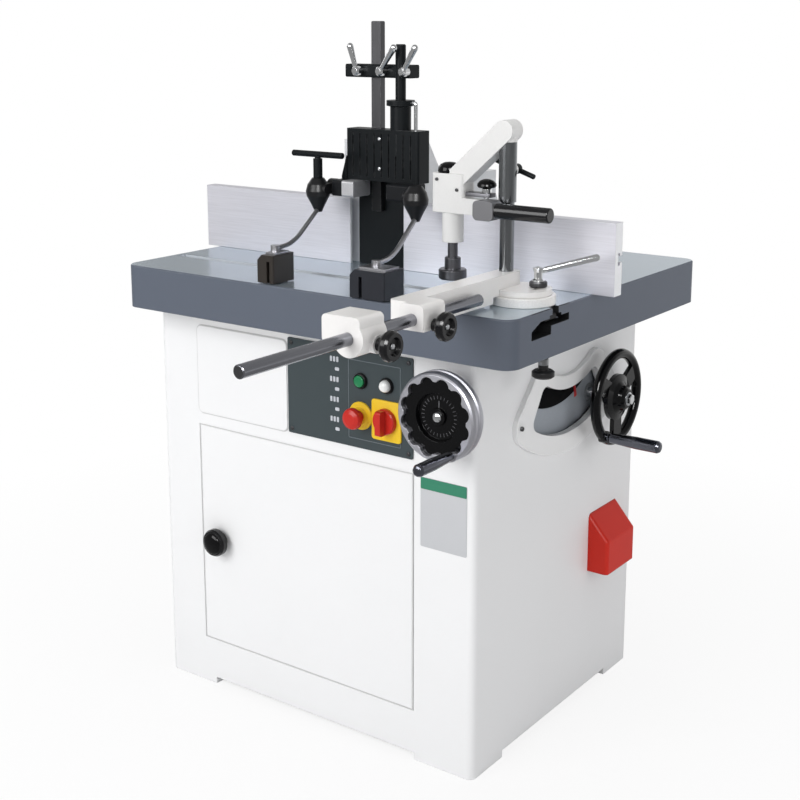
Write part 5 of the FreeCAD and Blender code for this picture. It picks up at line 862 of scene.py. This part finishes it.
def control_fittings():
    """Bezels, lamp, yellow plates, lines and marks of the control panel."""
    ring = [(0.0112, 0.0), (0.0150, 0.0), (0.0150, 0.003), (0.0138, 0.006), (0.0124, 0.0066), (0.0112, 0.005)]
    for name, column in (("start_bezel", BUTTON_COLUMN), ("lamp_bezel", LAMP_COLUMN)):
        turned(name, ring, (column, PANEL_FACE, BUTTON_HIGH), FRONT, BLACK_PLASTIC, FIXED,
               40, True)
    lens = [(0.0, 0.0), (0.0112, 0.0), (0.0112, 0.006), (0.0106, 0.010), (0.0085, 0.0135), (0.005, 0.0152),
            (0.0, 0.0158)]
    turned("pilot_lamp", lens, (LAMP_COLUMN, PANEL_FACE, BUTTON_HIGH), FRONT, LAMP_WHITE, FIXED)
    collar = [(0.0114, 0.0), (0.0264, 0.0), (0.0264, 0.003), (0.0250, 0.0045), (0.0175, 0.0055),
              (0.0160, 0.008), (0.0114, 0.008)]
    turned("stop_collar", collar, (BUTTON_COLUMN, PANEL_FACE, BUTTON_LOW), FRONT, SIGNAL_YELLOW,
           FIXED, 48, True)
    slab("switch_plate", rounded_rectangle(0.066, 0.076, 0.006), (LAMP_COLUMN, PANEL_FACE, BUTTON_LOW), FRONT,
         0.0036, SIGNAL_YELLOW, FIXED, 0.001)
    bm = bmesh.new()
    add_border(bm, PANEL_FRAME_MIDDLE, *PANEL_FRAME_SIZE, PANEL_FRAME_LINE, 0.0, 0.0006, PRINT_T)
    keep("panel_frame_line", mesh_of(bm, "panel_frame_line"), FRAME_LINE, FIXED)
    tall, small = rounded_rectangle(0.0050, 0.010, 0.0012, 2), rounded_rectangle(0.010, 0.0065, 0.002, 3)
    below_x, below = MARK_BELOW
    bm = bmesh.new()
    for step in range(4):
        z = MARK_TOP - MARK_PITCH * step
        for x in MARK_COLUMNS:
            add_slab(bm, tall, Vector((x, PANEL_FACE, z)), FRONT, PRINT_T)
        add_slab(bm, small, Vector((below_x, PANEL_FACE, z - below)), FRONT, PRINT_T)
    keep("speed_marks", mesh_of(bm, "speed_marks"), MARK_WHITE, FIXED)
    corners = [(x, PANEL_FACE, z) for x in PANEL_SCREW_XS for z in PANEL_SCREW_ZS]
    repeated("panel_screws", PAN_SCREW, corners, FRONT, 0.0042, DARK_STEEL, FIXED)


def front_fittings():
    """Bare plate beside the door, the latch knob's cap, grey strips of painted shade in the seams, and the
    lip over the cover.
    """
    slab("data_plate", rounded_rectangle(0.100, 0.132, 0.003), (DATA_PLATE_X, CAB_FRONT, DATA_PLATE_Z), FRONT,
         DATA_PLATE_T, PLATE_PALE, FIXED, 0.0002)
    slab("data_plate_band", rounded_rectangle(0.099, 0.0215, 0.0024),
         (DATA_PLATE_X, CAB_FRONT - DATA_PLATE_T, DATA_BAND_Z), FRONT, PRINT_T, PLATE_GREEN, FIXED)
    low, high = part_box("latch_knob")
    knob_radius = (high[0] - low[0]) / 2
    dome = [(0.8 * knob_radius * across, rise) for across, rise in
            ((0.0, 0.0), (1.0, 0.0), (0.99, 0.0012), (0.90, 0.0032), (0.68, 0.0052), (0.36, 0.0064),
             (0.0, 0.0068))]
    turned("latch_cap", dome, (low[0] + knob_radius, low[1] + LATCH_CAP_SINK, high[2] - knob_radius), FRONT,
           BLACK_GLOSS, "latch_knob", 48)
    low, high, middle = box_of("door")
    # Grey strip in the door's seam: painted shade, a faint shadow line in place of the gap's own
    bm = bmesh.new()
    add_border(bm, (middle[0], low[1] + SEAM_SHADE_SETBACK, middle[2]), high[0] - low[0] + SEAM_SHADE_W,
               high[2] - low[2] + SEAM_SHADE_W, SEAM_SHADE_W, SEAM_SHADE_W, 0.0004, SEAM_SHADE_W)
    keep("door_seal", mesh_of(bm, "door_seal"), SEAM_SHADE_GREY, "door")
    low, high, middle = box_of("upper_cover")
    # Grey ring round the upper cover: a painted shadow line at its edge
    inner, outer = (rounded_rectangle(high[0] - low[0] + 2 * grow, high[2] - low[2] + 2 * grow,
                                      COVER_CORNER + grow - COVER_SHADE_GAP)
                    for grow in (COVER_SHADE_GAP, COVER_SHADE_GAP + SEAM_SHADE_W))
    turn = Matrix.Translation((middle[0], CAB_FRONT, middle[2])) @ frame_of(FRONT)
    bm = bmesh.new()
    rings = [[bm.verts.new(turn @ Vector((x, y, rise))) for x, y in line] for line, rise in
             ((outer, 0.0), (outer, COVER_SHADE_T), (inner, COVER_SHADE_T), (inner, 0.0))]
    for near, far in zip(rings, rings[1:] + rings[:1]):
        add_quads(bm, near, far)
    keep("cover_seal", mesh_of(bm, "cover_seal"), SEAM_SHADE_GREY, FIXED)
    slab("cover_lip", rounded_rectangle(0.245, 0.010, 0.002), LIP_PLACE, FRONT, 0.010, LIP_BEIGE,
         FIXED, 0.002)


def table_fittings():
    """Tee-shaped stop that closes the slot's left end."""
    half = [(0.0001, 0.0108), (0.0122, 0.0108), (0.0122, 0.0197), (0.0237, 0.0197)]
    tee = half + [(down, -across) for down, across in reversed(half)]
    slab("slot_stop", tee, (TABLE_LOW[0] + SLOT_STOP_SETBACK, sum(SLOT_Y_SPAN) / 2, TABLE_TOP), RIGHT,
         SLOT_STOP_L, TABLE_CASTING, FIXED, 0.0004)


# Handwheels

def wheel_fittings():
    """Dial in the front wheel, and the nut on the side wheel's hub."""
    low, _, (x, _, z) = box_of("tilt_wheel_insert")
    boss = [(0.0, -0.001), (0.0095, -0.001), (0.0095, 0.002), (0.0080, 0.0045), (0.0045, 0.0062),
            (0.0, 0.0066)]
    turned("dial_boss", boss, (x, low[1] + DIAL_BOSS_SETBACK, z), FRONT, CHROME, "tilt_wheel")
    dial = (x, low[1] + DIAL_SETBACK, z)
    ring_of("dial_marks", 30, 0.0335, (0.006, 0.0011, 0.0006), dial, FRONT, DIAL_GREY, "tilt_wheel")
    needle = [(-0.0016, 0.0), (0.0016, 0.0), (0.0009, 0.0275), (-0.0009, 0.0275)]
    slab("dial_needle", needle, dial, FRONT, 0.0012, DIAL_GREY, "tilt_wheel", 0.0003)
    _, high, (_, y, z) = box_of("rise_handwheel")
    washer = [(0.0, 0.0), (0.0135, 0.0), (0.0135, 0.0012), (0.0125, 0.0018), (0.0, 0.0018)]
    turned("hub_washer", washer, (high[0], y, z), RIGHT, GROUND_STEEL, "rise_wheel")
    repeated("hub_nut", HEX_BOLT, [(high[0] + 0.0016, y, z)], RIGHT, 0.0105, CHROME, "rise_wheel")


# Arc slot in the cabinet's side

def arc(radius, end_radius, start_deg, stop_deg, steps=24):
    """Points across X, round the tilt line, between two radii and two angles."""
    points = []
    for share in (i / steps for i in range(steps + 1)):
        r = radius + (end_radius - radius) * share
        a = math.radians(start_deg + (stop_deg - start_deg) * share)
        points.append((r * math.cos(a), r * math.sin(a)))
    return points


def slot_fittings():
    """Plate on the cradle behind the slot, a black sheet of painted shade above it, the red pointer on them,
    and the bezel's screws.
    """
    parting = arc(SLOT_PART_FRONT, SLOT_PART_BACK, PART_FRONT_DEG, SLOT_BACK_DEG)
    plate = parting + arc(SLOT_PLATE_OUT, SLOT_PLATE_OUT, SLOT_BACK_DEG, PLATE_FRONT_DEG)
    shade = arc(SLOT_SHADE_IN, SLOT_SHADE_IN, SHADE_FRONT_DEG, SLOT_BACK_DEG) + parting[::-1]
    place = (SLOT_PLATE_X, PIVOT_Y, PIVOT_Z)
    slab("slot_plate", plate, place, RIGHT, SLOT_PLATE_T, SHIELD_GREY, "cradle", 0.0005)
    # Black sheet on the cradle: painted shade in the slot's upper part, where the cabinet's inside lies in
    # shadow
    slab("slot_shade", shade, place, RIGHT, SLOT_PLATE_T, PAINTED_SHADE_BLACK, "cradle", 0.0005)
    a = math.radians(POINTER_DEG)
    out, along = Vector((math.cos(a), math.sin(a))), Vector((-math.sin(a), math.cos(a)))
    tip = [out * r + along * w for r, w in
           ((0.232, -0.004), (0.232, 0.004), (0.206, 0.003), (0.197, 0.0), (0.206, -0.003))]
    slab("tilt_pointer", tip, (SLOT_PLATE_X + SLOT_PLATE_T, PIVOT_Y, PIVOT_Z), RIGHT, 0.0016, POINTER_RED,
         "cradle", 0.0003)
    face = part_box("slot_bezel")[1][0]
    spots = [(face, PIVOT_Y + BEZEL_SCREW_R * math.sin(a), PIVOT_Z - BEZEL_SCREW_R * math.cos(a))
             for a in (math.radians(-BEZEL_SCREW_DEG), math.radians(BEZEL_SCREW_DEG))]
    repeated("bezel_screws", CAP_SCREW, spots, RIGHT, 0.0045, DARK_STEEL, FIXED)


# Guard above the fence

def guard_fittings():
    """Screws, gusset and strap of the guard box."""
    low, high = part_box("guard_box")
    spots = [(GUARD_SCREW_X, GUARD_FACE, z) for z in GUARD_SCREW_ZS]
    repeated("guard_screws", PAN_SCREW, spots, FRONT, 0.0040, GROUND_STEEL, "guard_unit")
    gusset = [(-0.0335, 0.046), (-0.0335, 0.0), (-0.0455, 0.0), (-0.0455, 0.006)]
    slab("mount_gusset", gusset, (0.0, GUSSET_Y, low[2]), FRONT, 0.022, GUARD_BLACK, "guard_unit",
         0.001)
    top = high[2] - STRAP_DROP
    strap = [(0.100, -0.1165, top), (0.114, STRAP_Y, top)]
    strap += [(STRAP_X, STRAP_Y, z) for z in (top, top - 0.008, top - 0.030, STRAP_FOOT)]
    rod("guard_strap", strap, 0.0038, CHROME, "guard_unit")


# Carriage clamp

def clamp_fittings():
    """Cap, knob and screws of the clamp head, the nut under the lock lever, and the knobs' screws."""
    _, _, (x, y, _) = box_of("plunger")
    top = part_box("clamp_arm")[1][2] - HEAD_TOP_DROP
    cap = [(0.0, 0.0), (0.0200, 0.0), (0.0206, 0.003), (0.0197, 0.009), (0.0160, 0.0145), (0.0091, 0.0178),
           (0.0, 0.0188)]
    turned("head_cap", cap, (x - 0.008, y, top), UP, BLACK_GLOSS, "clamp_arm")
    knob_y = y - 0.002
    slab("knob_bracket", rounded_rectangle(0.052, 0.022, 0.004), (BRACKET_X, knob_y, BRACKET_Z), UP, 0.007,
         PLUNGER_STEEL, "clamp_arm", 0.001)
    stem = [(0.0, -0.014), (0.0045, -0.014), (0.0050, -0.013), (0.0050, 0.0), (0.0085, 0.0005),
            (0.0085, 0.0070), (0.0060, 0.0085), (0.0, 0.0085)]
    turned("knob_stem", stem, (HEAD_KNOB_X, knob_y, HEAD_KNOB_Z), UP, CHROME, "clamp_arm", 24)
    dome = [(0.0, 0.0), (0.0085, 0.0), (0.0150, 0.0015), (0.0172, 0.0045), (0.0165, 0.0085), (0.0125, 0.0130),
            (0.0065, 0.0156), (0.0, 0.0164)]
    turned("knob_dome", dome, (HEAD_KNOB_X, knob_y, HEAD_KNOB_Z + 0.008), UP, BLACK_GLOSS, "clamp_arm")
    spots = [(screw_x, y - HEAD_SCREW_REACH, screw_z) for screw_x, screw_z in HEAD_SCREWS]
    repeated("head_screws", CAP_SCREW, spots, FRONT, 0.0030, DARK_STEEL, "clamp_arm")
    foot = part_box("lock_lever")[0][2] + 0.0002
    nut = [(0.0111, 0.0), (0.0140, 0.0), (0.0148, 0.0012), (0.0148, 0.0085), (0.0138, 0.0100),
           (0.0111, 0.0104)]
    turned("lock_nut", nut, (*LOCK_AXIS, foot), UP, DARK_STEEL, "lock_lever", 36, True)
    ring_of("lock_nut_ridges", 28, 0.0148, (0.0016, 0.0018, 0.0072), (*LOCK_AXIS, foot + 0.0013), UP,
            DARK_STEEL, "lock_lever")
    centre = [(0.0, 0.0), (0.0048, 0.0), (0.0048, 0.0030), (0.0036, 0.0042), (0.0, 0.0046)]
    for name in ("stop_knob", "arm_knob"):
        _, high, (_, y, z) = box_of(name)
        turned(name + "_screw", centre, (high[0] - KNOB_SCREW_SETBACK, y, z), RIGHT, GROUND_STEEL, name,
               24)


# Back and inside

def service_fittings():
    """Screws of the back panel, bolts of the cutter hood, and ribs of the motor."""
    low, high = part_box("cabinet_back")
    reach = high[2] - low[2] - 2 * BACK_SCREW_INSET
    rows = [low[2] + BACK_SCREW_INSET + reach * i / 3 for i in range(4)]
    spots = [(x, high[1], z) for x in (low[0] + BACK_SCREW_INSET, high[0] - BACK_SCREW_INSET) for z in rows]
    repeated("back_screws", PAN_SCREW, spots, BACK, 0.0050, GROUND_STEEL, FIXED)
    spots = [(x, HOOD_BOLT_Y, z) for x in HOOD_BOLT_XS for z in HOOD_BOLT_ZS]
    repeated("hood_bolts", HEX_BOLT, spots, BACK, 0.0075, GROUND_STEEL, FIXED)
    foot = (*MOTOR_AXIS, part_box("motor")[0][2] + RIB_RISE)
    ring_of("motor_ribs", 40, 0.0782, (0.004, 0.0032, 0.096), foot, UP, MOTOR_BLUE, "spindle_carriage")


# Camera, floor and light

def seen_in_gloss(tree, path):
    """1 for rays by way of metal and glass."""
    return math_node(tree, "MAXIMUM", path["Is Glossy Ray"], path["Is Transmission Ray"])


def floor_finish():
    """Pale floor: nearly white to the camera, but it still takes the object's shadow."""
    finish, tree = new_material("studio_floor")
    path = tree.nodes.new("ShaderNodeLightPath").outputs
    backdrop = remap(tree, place_part(tree, "Y"), 0.0, FLOOR_DEPTH, ROOM_LEVEL, 1.0)
    matt = add(tree, "ShaderNodeBsdfDiffuse", Color=(0.86, 0.86, 0.87, 1.0))
    glow = add(tree, "ShaderNodeEmission", Color=(1.0, 1.0, 1.0, 1.0),
               Strength=chosen(tree, path["Is Camera Ray"], backdrop, 1.0))
    away = add(tree, "ShaderNodeVectorMath", operation="LENGTH")
    feed(tree, away.inputs[0], object_place(tree))
    under = [remap(tree, math_node(tree, "ABSOLUTE", place_part(tree, axis)), half, half - PATCH_FADE)
             for axis, half in PATCH_HALVES]
    ring = remap(tree, away.outputs["Value"], *PALE_RADII, *PALE_LEVELS)
    pale = chosen(tree, product(tree, *under), ring, 0.0)
    seen = math_node(tree, "MAXIMUM", path["Is Camera Ray"], seen_in_gloss(tree, path))
    both = tree.nodes.new("ShaderNodeMixShader")
    for socket, value in zip(both.inputs, (product(tree, seen, pale), matt.outputs[0], glow.outputs[0])):
        feed(tree, socket, value)
    add(tree, "ShaderNodeOutputMaterial", Surface=both.outputs[0])
    return finish


def studio():
    """Camera at the photograph's place, white backdrop, floor and soft lamps."""
    scene = bpy.context.scene
    scene.view_settings.view_transform = "Standard"
    camera = bpy.data.cameras.new("camera")
    camera.lens = CAMERA_LENS
    camera.sensor_width = 36.0
    camera.sensor_fit = "HORIZONTAL"
    camera.shift_y = CAMERA_SHIFT_Y
    camera.clip_end = 60.0
    scene.camera = new_object("camera", camera)
    scene.camera.location = CAMERA_PLACE
    scene.camera.rotation_euler = [math.radians(a) for a in CAMERA_TURN_DEG]

    scene.world = bpy.data.worlds.new("studio")
    scene.world.use_nodes = True
    tree = scene.world.node_tree
    sky = tree.nodes["Background"]
    sky.inputs["Color"].default_value = (1.0, 1.0, 1.0, 1.0)
    path = tree.nodes.new("ShaderNodeLightPath").outputs
    direction = tree.nodes.new("ShaderNodeTexCoord").outputs["Generated"]
    depth = add(tree, "ShaderNodeSeparateXYZ", Vector=direction).outputs["Y"]
    backdrop = remap(tree, depth, BACKDROP_FROM, 1.0, ROOM_LEVEL, 1.0)
    around = chosen(tree, seen_in_gloss(tree, path), AMBIENT_LEVEL, backdrop)
    feed(tree, sky.inputs["Strength"], chosen(tree, path["Is Camera Ray"], around, 1.0))

    bm = bmesh.new()
    sheet = rounded_rectangle(FLOOR_SIZE, FLOOR_SIZE, FLOOR_CORNER, 8)
    add_slab(bm, sheet, Vector((0, 0, -FLOOR_T)), UP, FLOOR_T)
    floor = new_object("floor", mesh_of(bm, "floor"))
    floor.data.materials.append(floor_finish())
    floor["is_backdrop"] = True

    for name, place, size, power, aim in LAMPS:
        lamp = bpy.data.lights.new(name, "AREA")
        lamp.size = size
        lamp.energy = power
        holder = new_object(name, lamp)
        holder.location = place
        holder.rotation_euler = (Vector(aim) - Vector(place)).to_track_quat("-Z", "Y").to_euler()
        holder.visible_glossy = name in LAMPS_IN_GLOSS
        holder.visible_diffuse = name != LAMP_IN_GLOSS_ALONE


studio()
control_fittings()
front_fittings()
table_fittings()
wheel_fittings()
slot_fittings()
guard_fittings()
clamp_fittings()
service_fittings()

for shape in SHAPES:
    bpy.data.objects.remove(shape)

boxes = {"cad": CAD_BOX, "visual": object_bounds()}
{key: [[float(v) for v in corner] for corner in box] for key, box in boxes.items()}
